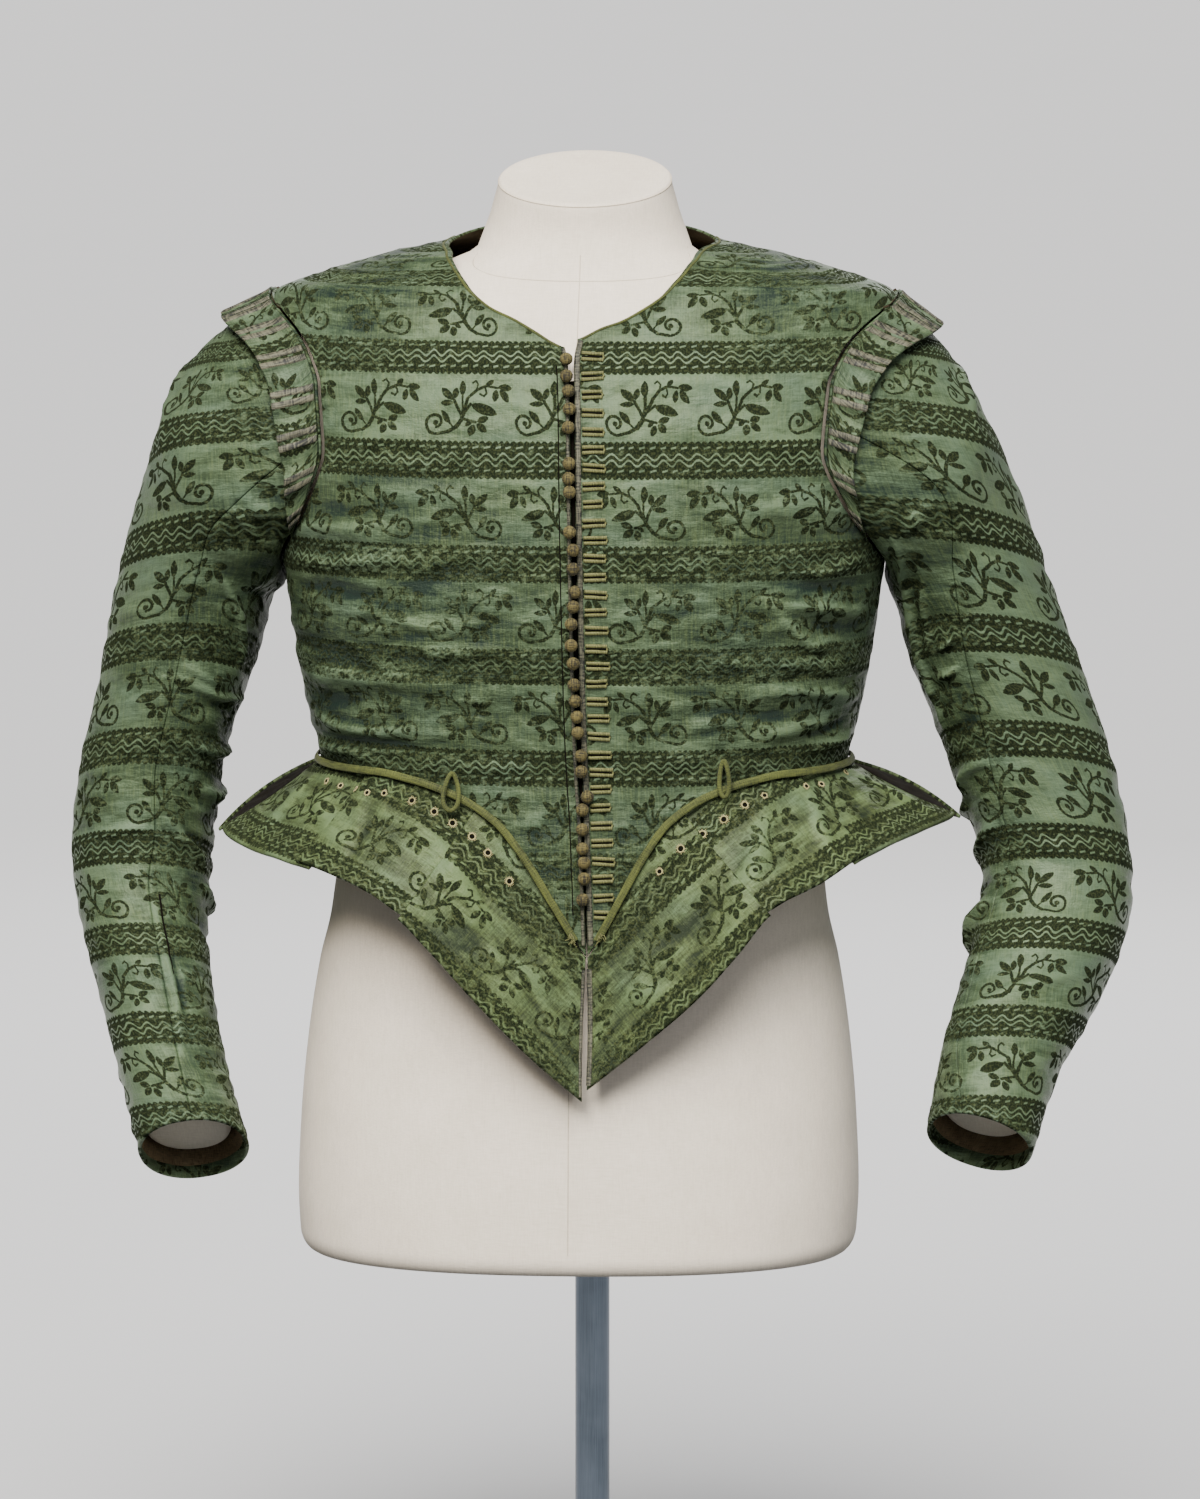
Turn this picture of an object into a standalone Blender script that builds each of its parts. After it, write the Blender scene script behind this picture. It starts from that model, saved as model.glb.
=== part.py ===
"""Doublet of green silk with laps, wings and long sleeves, worn by a padded form on a steel stand.

Metres, Z up, front towards -Y. "right" and "left" are the wearer's, so right lies on -X.
Every cloth piece is a thin closed wall: an outer grid of points on a shared surface and the
same grid moved inwards by the wall, so neighbouring pieces meet along parallel faces.
"""
import math

import bmesh
import bpy
import numpy as np

MM = 0.001

# driving sizes
WALL = 2.2 * MM
SEAM_GAP = 0.5 * MM
LAP_LAYER = 2.9 * MM
LAP_BOW = 2.5 * MM
BUTTON_DIAMETER = 8.6 * MM
BUTTON_FLATNESS = 0.86
CORD_WIDTH = 5.0 * MM
CORD_THICKNESS = 1.9 * MM
CORD_CLEARANCE = 1.1 * MM
LOOP_CORD = 3.0 * MM
WING_LIFT = 0.7 * MM
WING_RIB_HEIGHT = 1.0 * MM
WING_RIB_WIDTH = 9.0 * MM
WING_RIB_COUNT = 15
PAD_INSET = 6.5 * MM
NECK_TOP_HEIGHT = 1.0078
NECK_TOP_SLANT = math.radians(16.5)
FORM_BOTTOM = 0.311
FORM_EDGE_RADIUS = 0.012
POLE_DIAMETER = 0.0225
BASE_RADIUS = 0.170
BASE_THICKNESS = 0.012

FRONT_COLUMNS = 18
FRONT_SPREAD = 1.3
BACK_COLUMNS = 12
BACK_SPREAD = 1.05
TIP_SPREAD = 1.3

SHARP_ANGLE = math.radians(50)

RIGHT = -1
LEFT = 1
SIDES = {"right": RIGHT, "left": LEFT}

# horizontal sections of the doublet's body, in metres
BODY_COLUMNS = ("height", "half_width", "front", "back", "roundness", "centre_y")
BODY_ROWS = [
    (0.480, 0.171, 0.127, 0.120, 2.20, 0.000),
    (0.560, 0.170, 0.124, 0.112, 2.25, 0.000),
    (0.629, 0.171, 0.120, 0.110, 2.35, 0.000),
    (0.660, 0.178, 0.122, 0.114, 2.40, 0.000),
    (0.700, 0.186, 0.127, 0.120, 2.45, 0.000),
    (0.750, 0.193, 0.131, 0.126, 2.45, 0.000),
    (0.800, 0.200, 0.131, 0.129, 2.45, 0.000),
    (0.850, 0.206, 0.125, 0.128, 2.40, 0.003),
    (0.890, 0.209, 0.113, 0.121, 2.40, 0.006),
    (0.914, 0.206, 0.100, 0.110, 2.40, 0.008),
    (0.934, 0.199, 0.088, 0.098, 2.40, 0.008),
    (0.9455, 0.170, 0.078, 0.086, 2.35, 0.008),
    (0.957, 0.131, 0.068, 0.075, 2.25, 0.007),
    (0.969, 0.084, 0.059, 0.065, 2.05, 0.006),
    (0.982, 0.071, 0.053, 0.060, 2.00, 0.006),
]

# horizontal sections of the padded form
FORM_COLUMNS = ("height", "half_width", "front", "back", "roundness", "centre_y")
FORM_ROWS = [
    (0.311, 0.1810, 0.128, 0.128, 2.40, 0.000),
    (0.350, 0.1830, 0.128, 0.128, 2.40, 0.000),
    (0.400, 0.1810, 0.126, 0.127, 2.40, 0.000),
    (0.450, 0.1765, 0.122, 0.124, 2.35, 0.000),
    (0.500, 0.1690, 0.118, 0.119, 2.30, 0.000),
    (0.530, 0.1620, 0.116, 0.114, 2.30, 0.000),
    (0.560, 0.1580, 0.115, 0.104, 2.30, 0.000),
    (0.600, 0.1520, 0.111, 0.102, 2.30, 0.000),
    (0.630, 0.1520, 0.110, 0.101, 2.30, 0.000),
    (0.660, 0.1600, 0.113, 0.105, 2.35, 0.000),
    (0.700, 0.1720, 0.118, 0.111, 2.40, 0.000),
    (0.750, 0.1810, 0.122, 0.117, 2.40, 0.000),
    (0.800, 0.1880, 0.122, 0.120, 2.40, 0.000),
    (0.850, 0.1910, 0.116, 0.119, 2.35, 0.003),
    (0.890, 0.1890, 0.104, 0.111, 2.35, 0.006),
    (0.912, 0.1810, 0.091, 0.100, 2.35, 0.008),
    (0.929, 0.1640, 0.078, 0.087, 2.35, 0.008),
    (0.941, 0.1320, 0.068, 0.075, 2.25, 0.008),
    (0.951, 0.0960, 0.060, 0.065, 2.10, 0.007),
    (0.962, 0.0700, 0.054, 0.058, 2.00, 0.006),
    (0.975, 0.0624, 0.050, 0.055, 2.00, 0.006),
    (0.997, 0.0570, 0.050, 0.054, 2.00, 0.006),
    (1.030, 0.0548, 0.050, 0.054, 2.00, 0.006),
]

# sideways set of the form below the waist
FORM_SHIFT_COLUMNS = ("height", "shift")
FORM_SHIFT_ROWS = [(0.300, -0.0040), (0.540, -0.0030), (0.630, 0.0), (0.700, 0.0)]

# sideways run of the centre front line
LEAN_COLUMNS = ("height", "shift")
LEAN_ROWS = [
    (0.430, 0.0090), (0.520, 0.0080), (0.600, 0.0052), (0.667, 0.0024),
    (0.735, 0.0011), (0.868, -0.0016), (0.910, -0.0040),
]

# width of the opening between the two fronts
GAP_COLUMNS = ("height", "width")
GAP_ROWS = [
    (0.430, 0.0030), (0.519, 0.0010), (0.600, 0.0010), (0.630, 0.0026),
    (0.880, 0.0030), (0.897, 0.0040), (0.9085, 0.0090),
]

# height of the waist seam by angle from the centre front
WAIST_COLUMNS = ("angle", "height")
WAIST_ROWS = [
    (0.0, 0.5190), (5.6, 0.5535), (11.0, 0.5840), (16.0, 0.6040), (24.0, 0.6190),
    (34.0, 0.6275), (46.0, 0.6315), (72.0, 0.6315), (90.0, 0.6310), (135.0, 0.6240), (180.0, 0.6150),
]

# neckline of the fronts as distance from the middle and height, and of the back by angle
FRONT_NECK = {
    "right": [(0.0, 0.9050), (0.0165, 0.9135), (0.0330, 0.9220), (0.0490, 0.9285), (0.0640, 0.9390),
              (0.0750, 0.9520), (0.0810, 0.9620)],
    "left": [(0.0, 0.9100), (0.0150, 0.9165), (0.0290, 0.9210), (0.0460, 0.9295), (0.0620, 0.9420),
             (0.0730, 0.9560), (0.0775, 0.9640)],
}
NECK_SIDE = (96.0, 0.9695)
BACK_NECK = [(180.0, 0.9755), (160.0, 0.9760), (135.0, 0.9755), (115.0, 0.9730), (96.2, 0.9695)]

# armhole, from the top of the shoulder round the front to the underarm and up the back
ARMHOLE_COLUMNS = ("phi", "angle", "height")
ARMHOLE_ROWS = [
    (0.0, 96.0, 0.934), (12.0, 80.0, 0.930), (30.0, 61.0, 0.916), (45.0, 52.0, 0.899), (60.0, 48.5, 0.879),
    (90.0, 48.5, 0.841), (120.0, 55.5, 0.806), (150.0, 70.0, 0.777), (180.0, 88.3, 0.762),
    (210.0, 110.0, 0.777), (240.0, 123.0, 0.806), (270.0, 129.0, 0.841), (300.0, 129.0, 0.879),
    (315.0, 126.5, 0.899), (330.0, 119.0, 0.916), (348.0, 107.0, 0.930), (360.0, 96.0, 0.934),
]
UNDERARM_PHI = 180.0
ARMHOLE_TRIM = {"right": 0.0, "left": 2.5}
SHOULDER_HEIGHT = 0.934

# cross rings of the sleeves: outer point, inner point, depth position and half depth
SLEEVE_COLUMNS = ("outer_x", "outer_z", "inner_x", "inner_z", "centre_y", "half_depth")
SLEEVE_ROWS = {
    "right": [
        (0.258, 0.884, 0.1965, 0.743, 0.010, 0.083),
        (0.289, 0.805, 0.2050, 0.733, 0.014, 0.068),
        (0.307, 0.739, 0.2120, 0.703, 0.018, 0.058),
        (0.320, 0.673, 0.2250, 0.666, 0.022, 0.054),
        (0.332, 0.623, 0.2380, 0.626, 0.026, 0.052),
        (0.338, 0.567, 0.2450, 0.570, 0.026, 0.052),
        (0.330, 0.517, 0.2480, 0.526, 0.008, 0.048),
        (0.312, 0.467, 0.2400, 0.477, -0.030, 0.044),
        (0.295, 0.421, 0.2260, 0.431, -0.068, 0.041),
        (0.281, 0.382, 0.2110, 0.394, -0.100, 0.039),
    ],
    "left": [
        (0.244, 0.881, 0.1965, 0.743, 0.010, 0.083),
        (0.278, 0.812, 0.2030, 0.726, 0.014, 0.068),
        (0.304, 0.739, 0.2090, 0.699, 0.018, 0.058),
        (0.327, 0.676, 0.2220, 0.666, 0.022, 0.054),
        (0.344, 0.623, 0.2390, 0.619, 0.026, 0.053),
        (0.355, 0.567, 0.2570, 0.563, 0.026, 0.053),
        (0.354, 0.526, 0.2550, 0.520, 0.008, 0.050),
        (0.335, 0.483, 0.2440, 0.483, -0.030, 0.045),
        (0.310, 0.440, 0.2330, 0.450, -0.068, 0.041),
        (0.291, 0.387, 0.2250, 0.408, -0.102, 0.039),
    ],
}
SLEEVE_HEAD_GAP = 1.8 * MM
WING_START = 1.2 * MM

# angle of the front seam down each sleeve, ring by ring from the armhole
FRONT_SEAM = {
    "right": [84, 102, 97, 95, 95, 98, 105, 103, 104, 101, 99],
    "left": [75, 88, 98, 104, 110, 118, 126, 138, 139, 139, 120],
}
BACK_SEAM = 268.0
SLEEVE_PLACES = [0.0, 0.25, 0.5, 0.75, 1.0, 1.33, 1.67, 2.0, 2.4, 2.8, 3.2, 3.6, 4.0, 4.5, 5.0, 5.5, 6.0,
                 6.4, 6.8, 7.2, 7.6, 8.0, 8.5, 9.0, 9.5, 10.0]

# width of the shoulder wing round the armhole and how far its free edge stands off
WING_COLUMNS = ("phi", "width", "stand_off")
WING_ROWS = {
    "right": [(0.0, 0.0350, 0.0065), (30.0, 0.0315, 0.0055), (60.0, 0.0285, 0.0045),
              (90.0, 0.0250, 0.0035), (120.0, 0.0150, 0.0020), (141.0, 0.0025, 0.0010)],
    "left": [(0.0, 0.0335, 0.0065), (30.0, 0.0300, 0.0055), (60.0, 0.0240, 0.0045),
             (90.0, 0.0185, 0.0035), (120.0, 0.0110, 0.0020), (141.0, 0.0025, 0.0010)],
}
WING_END_PHI = 141.0

# lower edge of the laps: position along the waist, waist angle and edge point
HEM_COLUMNS = ("along", "waist_angle", "out", "y", "z")
HEM_ROWS = {
    "right": [
        (0.00, 0.0, -0.0045, -0.143, 0.4285), (0.25, 4.0, 0.0237, -0.152, 0.4558),
        (0.55, 9.5, 0.0616, -0.157, 0.4953), (0.80, 14.5, 0.0900, -0.158, 0.5271),
        (1.00, 20.0, 0.1102, -0.154, 0.5468), (1.50, 35.0, 0.1500, -0.132, 0.5660),
        (2.00, 50.0, 0.1830, -0.104, 0.5740), (2.50, 70.0, 0.2160, -0.055, 0.5760),
        (3.00, 92.0, 0.2395, 0.006, 0.5830), (3.25, 108.0, 0.2150, 0.075, 0.5850),
        (3.50, 128.0, 0.1650, 0.125, 0.5750), (3.75, 154.0, 0.0850, 0.155, 0.5650),
        (4.00, 180.0, 0.0010, 0.163, 0.5600),
    ],
    "left": [
        (0.00, 0.0, 0.0110, -0.143, 0.4361), (0.25, 4.0, 0.0420, -0.152, 0.4640),
        (0.55, 9.5, 0.0805, -0.157, 0.4984), (0.80, 14.5, 0.1057, -0.158, 0.5271),
        (1.00, 19.0, 0.1259, -0.154, 0.5512), (1.50, 35.0, 0.1580, -0.130, 0.5640),
        (2.00, 53.0, 0.1900, -0.098, 0.5820), (2.50, 72.0, 0.2230, -0.045, 0.5905),
        (3.00, 92.0, 0.2430, 0.006, 0.5950), (3.25, 108.0, 0.2180, 0.075, 0.5890),
        (3.50, 128.0, 0.1650, 0.125, 0.5770), (3.75, 154.0, 0.0850, 0.155, 0.5660),
        (4.00, 180.0, 0.0010, 0.163, 0.5600),
    ],
}
# each lap: first and last position, run under its neighbour, share of the depth and bow
LAP_COLUMNS = ("name", "start", "end", "tuck", "depth_share", "bow")
LAP_ROWS = [
    ("front", 0.0, 1.0, 0.0, 1.00, 0.0025),
    ("fore_side", 1.0, 2.0, 0.16, 0.95, 0.0025),
    ("side", 2.0, 3.0, 0.14, 0.97, 0.0025),
    ("back", 3.0, 4.0, -0.03, 1.04, -0.0060),
]
# crosswise set of the clothed form against the middle of its stand
DRESS_SHIFT = -0.005

# thread buttons: sideways offset from the centre front and height
BUTTON_ROWS = [
    (-0.0026, 0.8956), (-0.0029, 0.8857), (-0.0019, 0.8767), (-0.0016, 0.8658), (-0.0023, 0.8546),
    (-0.0021, 0.8324), (-0.0025, 0.8232), (-0.0020, 0.8150), (-0.0023, 0.7904), (-0.0002, 0.7789),
    (-0.0005, 0.7670), (0.0004, 0.7524), (-0.0008, 0.7432), (-0.0023, 0.7322), (-0.0027, 0.7187),
    (-0.0017, 0.7071), (-0.0014, 0.6935), (-0.0010, 0.6831), (-0.0002, 0.6728), (0.0001, 0.6624),
    (0.0015, 0.6475), (0.0010, 0.6372), (0.0041, 0.6209), (0.0006, 0.6123), (0.0002, 0.5997),
    (-0.0002, 0.5876), (0.0004, 0.5787), (0.0001, 0.5686), (-0.0013, 0.5553),
]

# upright loops of cord at the waist: angle, height, width, drop below the seam and lean
LOOP_COLUMNS = ("angle", "height", "width", "drop", "lean")
LOOP_ROWS = {
    "right": (24.8, 0.024, 0.0125, 0.0110, 1.0),
    "left": (28.3, 0.023, 0.0075, 0.0050, 0.5),
}


class SmoothTable:
    """Rows of named columns read at any key by a cubic that never overshoots its rows."""

    def __init__(self, columns, rows):
        self.columns = columns
        self.rows = np.array(rows, dtype=float)
        self.keys = self.rows[:, 0]
        steps = np.diff(self.keys)
        rises = np.diff(self.rows, axis=0) / steps[:, None]
        slopes = np.zeros_like(self.rows)
        slopes[0] = rises[0]
        slopes[-1] = rises[-1]
        for row in range(1, len(self.rows) - 1):
            before = rises[row - 1]
            after = rises[row]
            same = before * after > 0
            total = np.where(same, before + after, 1.0)
            slopes[row] = np.where(same, 2.0 * before * after / total, 0.0)
        self.slopes = slopes

    def at(self, name, key):
        column = self.columns.index(name)
        key = min(max(key, self.keys[0]), self.keys[-1])
        row = int(np.searchsorted(self.keys, key, side="right")) - 1
        row = min(row, len(self.keys) - 2)
        span = self.keys[row + 1] - self.keys[row]
        part = (key - self.keys[row]) / span
        start = self.rows[row, column]
        finish = self.rows[row + 1, column]
        start_slope = self.slopes[row, column] * span
        finish_slope = self.slopes[row + 1, column] * span
        square = part * part
        cube = square * part
        return ((2 * cube - 3 * square + 1) * start + (cube - 2 * square + part) * start_slope
                + (3 * square - 2 * cube) * finish + (cube - square) * finish_slope)


BODY = SmoothTable(BODY_COLUMNS, BODY_ROWS)
FORM = SmoothTable(FORM_COLUMNS, FORM_ROWS)
LEAN = SmoothTable(LEAN_COLUMNS, LEAN_ROWS)
GAP = SmoothTable(GAP_COLUMNS, GAP_ROWS)
WAIST = SmoothTable(WAIST_COLUMNS, WAIST_ROWS)
ARMHOLE = SmoothTable(ARMHOLE_COLUMNS, ARMHOLE_ROWS)
FORM_SHIFT = SmoothTable(FORM_SHIFT_COLUMNS, FORM_SHIFT_ROWS)
WING = {name: SmoothTable(WING_COLUMNS, rows) for name, rows in WING_ROWS.items()}
HEM = {name: SmoothTable(HEM_COLUMNS, rows) for name, rows in HEM_ROWS.items()}
SEAM = {name: SmoothTable(("ring", "phi"), list(enumerate(values))) for name, values in FRONT_SEAM.items()}


def unit(vector):
    return vector / np.linalg.norm(vector)


def section_point(table, side, angle, height):
    """Point of a rounded horizontal section at an angle from the centre front."""
    radians = math.radians(angle)
    power = 2.0 / table.at("roundness", height)
    across = abs(math.sin(radians)) ** power
    cosine = math.cos(radians)
    along = math.copysign(abs(cosine) ** power, cosine)
    depth = table.at("front", height) if cosine >= 0 else table.at("back", height)
    x = side * table.at("half_width", height) * across
    y = table.at("centre_y", height) - depth * along
    return np.array([x, y, height])


def section_normal(table, side, angle, height):
    """Outward direction of the surface through the sections."""
    radians = math.radians(angle)
    roundness = table.at("roundness", height)
    power = 2.0 / roundness
    across = abs(math.sin(radians)) ** power
    cosine = math.cos(radians)
    along = math.copysign(abs(cosine) ** power, cosine)
    column = "front" if cosine >= 0 else "back"
    half_width = table.at("half_width", height)
    depth = table.at(column, height)
    step = 0.0015
    low = max(height - step, table.keys[0])
    high = min(height + step, table.keys[-1])
    span = high - low
    width_rate = (table.at("half_width", high) - table.at("half_width", low)) / span
    depth_rate = (table.at(column, high) - table.at(column, low)) / span
    centre_rate = (table.at("centre_y", high) - table.at("centre_y", low)) / span
    normal_x = side * across ** (roundness - 1) / half_width
    normal_y = -math.copysign(abs(along) ** (roundness - 1), along) / depth
    normal_z = -(across ** roundness * width_rate / half_width + abs(along) ** roundness * depth_rate / depth)
    normal_z -= normal_y * centre_rate
    return unit(np.array([normal_x, normal_y, normal_z]))


def body_point(side, angle, height, outward=0.0):
    """Point on the doublet's outer surface moved outwards along the surface normal."""
    point = section_point(BODY, side, angle, height)
    if angle < 90.0:
        point[0] += LEAN.at("shift", height) * math.cos(math.radians(angle)) ** 2
        point[0] += side * 0.5 * GAP.at("width", height) * max(0.0, 1.0 - angle / 14.0)
    else:
        point[0] += side * 0.5 * SEAM_GAP * max(0.0, 1.0 - (180.0 - angle) / 14.0)
    return point + outward * section_normal(BODY, side, angle, height)


def edge_at(points, share):
    """Point at a share of the way along a run of equally spaced marks, smoothed."""
    marks = np.array(points, dtype=float)
    keys = np.arange(len(marks)) / (len(marks) - 1)
    table = SmoothTable(("key", "first", "second"), np.column_stack([keys, marks]))
    return np.array([table.at("first", share), table.at("second", share)])


def angle_across(side_name, distance, height):
    """Angle at which the body's section stands at a distance from the middle."""
    ratio = min(distance / BODY.at("half_width", height), 1.0)
    return math.degrees(math.asin(ratio ** (BODY.at("roundness", height) / 2.0)))


def patch(bottom, top, middle, far, across, up):
    """Angle from the middle edge and height inside a panel spanned between four edges.

    Angles run from zero at the middle edge. Each row keeps its share of the way to the far
    edge, and heights are blended between the four edges.
    """
    low = bottom(across)
    high = top(across)
    low_end = bottom(1.0)
    high_end = top(1.0)
    share = (1 - up) * low[0] / low_end[0] + up * high[0] / high_end[0]
    edge = far(up)
    straight_edge = (1 - up) * low_end[1] + up * high_end[1]
    straight_middle = (1 - up) * bottom(0.0)[1] + up * top(0.0)[1]
    height = (1 - up) * low[1] + up * high[1]
    height += (1 - share) * (middle(up) - straight_middle) + share * (edge[1] - straight_edge)
    return edge[0] * share, height


def finish_mesh(name, vertices, faces, material, smooth=True, shift=DRESS_SHIFT):
    """Make an object from points and faces, with its faces turned outwards."""
    mesh = bpy.data.meshes.new(name)
    mesh.from_pydata([(vertex[0] + shift, vertex[1], vertex[2]) for vertex in vertices], [], faces)
    shape = bmesh.new()
    shape.from_mesh(mesh)
    bmesh.ops.recalc_face_normals(shape, faces=shape.faces)
    for face in shape.faces:
        face.smooth = smooth
    shape.to_mesh(mesh)
    shape.free()
    mesh.set_sharp_from_angle(angle=SHARP_ANGLE)
    mesh.materials.append(material)
    thing = bpy.data.objects.new(name, mesh)
    bpy.context.scene.collection.objects.link(thing)
    return thing


def wall_solid(name, outer, inner, material):
    """Closed wall between two matching grids of points."""
    columns = len(outer) - 1
    rows = len(outer[0]) - 1
    vertices = [point for line in outer for point in line] + [point for line in inner for point in line]
    shift = (columns + 1) * (rows + 1)

    def index(column, row, layer):
        return layer * shift + column * (rows + 1) + row

    faces = []
    for column in range(columns):
        for row in range(rows):
            faces.append((index(column, row, 0), index(column + 1, row, 0),
                          index(column + 1, row + 1, 0), index(column, row + 1, 0)))
            faces.append((index(column, row, 1), index(column, row + 1, 1),
                          index(column + 1, row + 1, 1), index(column + 1, row, 1)))
    for column in range(columns):
        faces.append((index(column, 0, 0), index(column, 0, 1),
                      index(column + 1, 0, 1), index(column + 1, 0, 0)))
        faces.append((index(column, rows, 0), index(column + 1, rows, 0),
                      index(column + 1, rows, 1), index(column, rows, 1)))
    for row in range(rows):
        faces.append((index(0, row, 0), index(0, row + 1, 0), index(0, row + 1, 1), index(0, row, 1)))
        faces.append((index(columns, row, 0), index(columns, row, 1),
                      index(columns, row + 1, 1), index(columns, row + 1, 0)))
    return finish_mesh(name, vertices, faces, material)


def ring_solid(name, rings, material, smooth=True, shift=DRESS_SHIFT):
    """Closed solid through rings of points, with a flat fan at each end."""
    count = len(rings[0])
    vertices = [point for ring in rings for point in ring]
    faces = []
    for level in range(len(rings) - 1):
        for spot in range(count):
            following = (spot + 1) % count
            faces.append((level * count + spot, level * count + following,
                          (level + 1) * count + following, (level + 1) * count + spot))
    first = len(vertices)
    vertices.append(np.mean(rings[0], axis=0))
    vertices.append(np.mean(rings[-1], axis=0))
    top = (len(rings) - 1) * count
    for spot in range(count):
        following = (spot + 1) % count
        faces.append((first, following, spot))
        faces.append((first + 1, top + spot, top + following))
    return finish_mesh(name, vertices, faces, material, smooth, shift)


def make_material(name, colour, roughness, metallic=0.0):
    material = bpy.data.materials.new(name)
    material.use_nodes = True
    shader = material.node_tree.nodes["Principled BSDF"]
    shader.inputs["Base Color"].default_value = (*colour, 1.0)
    shader.inputs["Roughness"].default_value = roughness
    shader.inputs["Metallic"].default_value = metallic
    return material


def body_panel(name, side, turn, edges, columns, rows, material):
    """Wall of cloth over the body between four edges; turn maps their angles to the body's."""
    outside = []
    inside = []
    for column in range(columns + 1):
        across = column / columns
        outside_line = []
        inside_line = []
        for row in range(rows + 1):
            angle, height = patch(*edges, across, row / rows)
            angle = turn(angle)
            outside_line.append(body_point(side, angle, height))
            inside_line.append(body_point(side, angle, height, -WALL))
        outside.append(outside_line)
        inside.append(inside_line)
    return wall_solid(name, outside, inside, material)


def armhole_mark(side_name, phi):
    trim = ARMHOLE_TRIM[side_name] * math.sin(math.radians(phi)) ** 2 if phi < 180.0 else 0.0
    return np.array([ARMHOLE.at("angle", phi) - trim, ARMHOLE.at("height", phi)])


def make_front(side_name, material):
    """Front: centre edge, waist seam, side seam with armhole and shoulder seam, neckline."""
    underarm = 7 / 20
    tip = 17 / 20
    low = armhole_mark(side_name, UNDERARM_PHI)
    neck = [(angle_across(side_name, distance, height), height) for distance, height in FRONT_NECK[side_name]]
    neck.append(NECK_SIDE)
    waist = WAIST.at("height", 0.0)
    peak = neck[0][1]
    trim = np.array([-0.1, 0.0])

    def bottom(share):
        angle = 90.0 * share ** FRONT_SPREAD
        return np.array([angle - 0.07 * share, WAIST.at("height", angle)])

    def top(share):
        return edge_at(neck, share) + trim * share

    def middle(share):
        return waist + (peak - waist) * share

    def far(share):
        if share <= underarm:
            part = share / underarm
            return np.array([90.0 + (low[0] - 90.0) * part - 0.07, 0.6310 + (low[1] - 0.6310) * part])
        if share <= tip:
            phi = UNDERARM_PHI * ((tip - share) / (tip - underarm)) ** TIP_SPREAD
            return armhole_mark(side_name, phi) + trim
        part = (share - tip) / (1 - tip)
        return np.array([NECK_SIDE[0], SHOULDER_HEIGHT + (NECK_SIDE[1] - SHOULDER_HEIGHT) * part]) + trim

    edges = (bottom, top, middle, far)
    return body_panel("front_" + side_name, SIDES[side_name], lambda angle: angle, edges,
                      FRONT_COLUMNS, 20, material)


def make_back(side_name, material):
    """Back half: centre seam, waist seam, side seam with armhole and shoulder seam, neckline."""
    underarm = 6 / 18
    tip = 15 / 18
    low = armhole_mark(side_name, UNDERARM_PHI)
    neck = [(180.0 - angle, height) for angle, height in BACK_NECK]
    waist = WAIST.at("height", 180.0)
    peak = neck[0][1]
    trim = np.array([-0.1, 0.0])

    def bottom(share):
        angle = 90.0 * share ** BACK_SPREAD
        return np.array([angle - 0.07 * share, WAIST.at("height", 180.0 - angle)])

    def top(share):
        return edge_at(neck, share)

    def middle(share):
        return waist + (peak - waist) * share

    def far(share):
        if share <= underarm:
            part = share / underarm
            return np.array([89.93 - (low[0] - 90.0) * part, 0.6310 + (low[1] - 0.6310) * part])
        if share <= tip:
            rest = ((tip - share) / (tip - underarm)) ** TIP_SPREAD
            phi = 180.0 + UNDERARM_PHI * (1.0 - rest)
            angle, height = armhole_mark(side_name, phi)
            return np.array([180.0 - angle, height]) + trim
        part = (share - tip) / (1 - tip)
        height = SHOULDER_HEIGHT + (NECK_SIDE[1] - SHOULDER_HEIGHT) * part
        return np.array([180.0 - BACK_NECK[-1][0], height])

    edges = (bottom, top, middle, far)
    return body_panel("back_" + side_name, SIDES[side_name], lambda angle: 180.0 - angle, edges,
                      BACK_COLUMNS, 18, material)


def sleeve_ring(side_name, ring, phi):
    """Point of one of the sleeve's rings; ring 0 follows the armhole."""
    side = SIDES[side_name]
    phi = phi % 360.0
    if ring == 0:
        angle, height = armhole_mark(side_name, phi)
        point = body_point(side, angle, height)
        return point + np.array([side * SLEEVE_HEAD_GAP, 0.0, 0.0])
    rows = SLEEVE_ROWS[side_name]

    def centre(number):
        row = rows[min(max(number, 0), len(rows) - 1)]
        return np.array([side * (row[0] + row[2]) / 2, row[4], (row[1] + row[3]) / 2])

    row = rows[ring - 1]
    reach = np.array([side * (row[0] - row[2]) / 2, 0.0, (row[1] - row[3]) / 2])
    run = unit(centre(ring) - centre(ring - 2))
    depth = np.cross(reach, run)
    depth = unit(depth) * row[5]
    if depth[1] > 0:
        depth = -depth
    radians = math.radians(phi)
    cosine = math.cos(radians)
    sine = math.sin(radians)
    power = 2.0 / 2.15
    return (centre(ring - 1) + reach * math.copysign(abs(cosine) ** power, cosine)
            + depth * math.copysign(abs(sine) ** power, sine))


RING_STORE = {}


def stored_ring(side_name, ring, phi):
    key = (side_name, ring, round(phi % 360.0, 4))
    if key not in RING_STORE:
        RING_STORE[key] = sleeve_ring(side_name, ring, phi)
    return RING_STORE[key]


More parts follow.
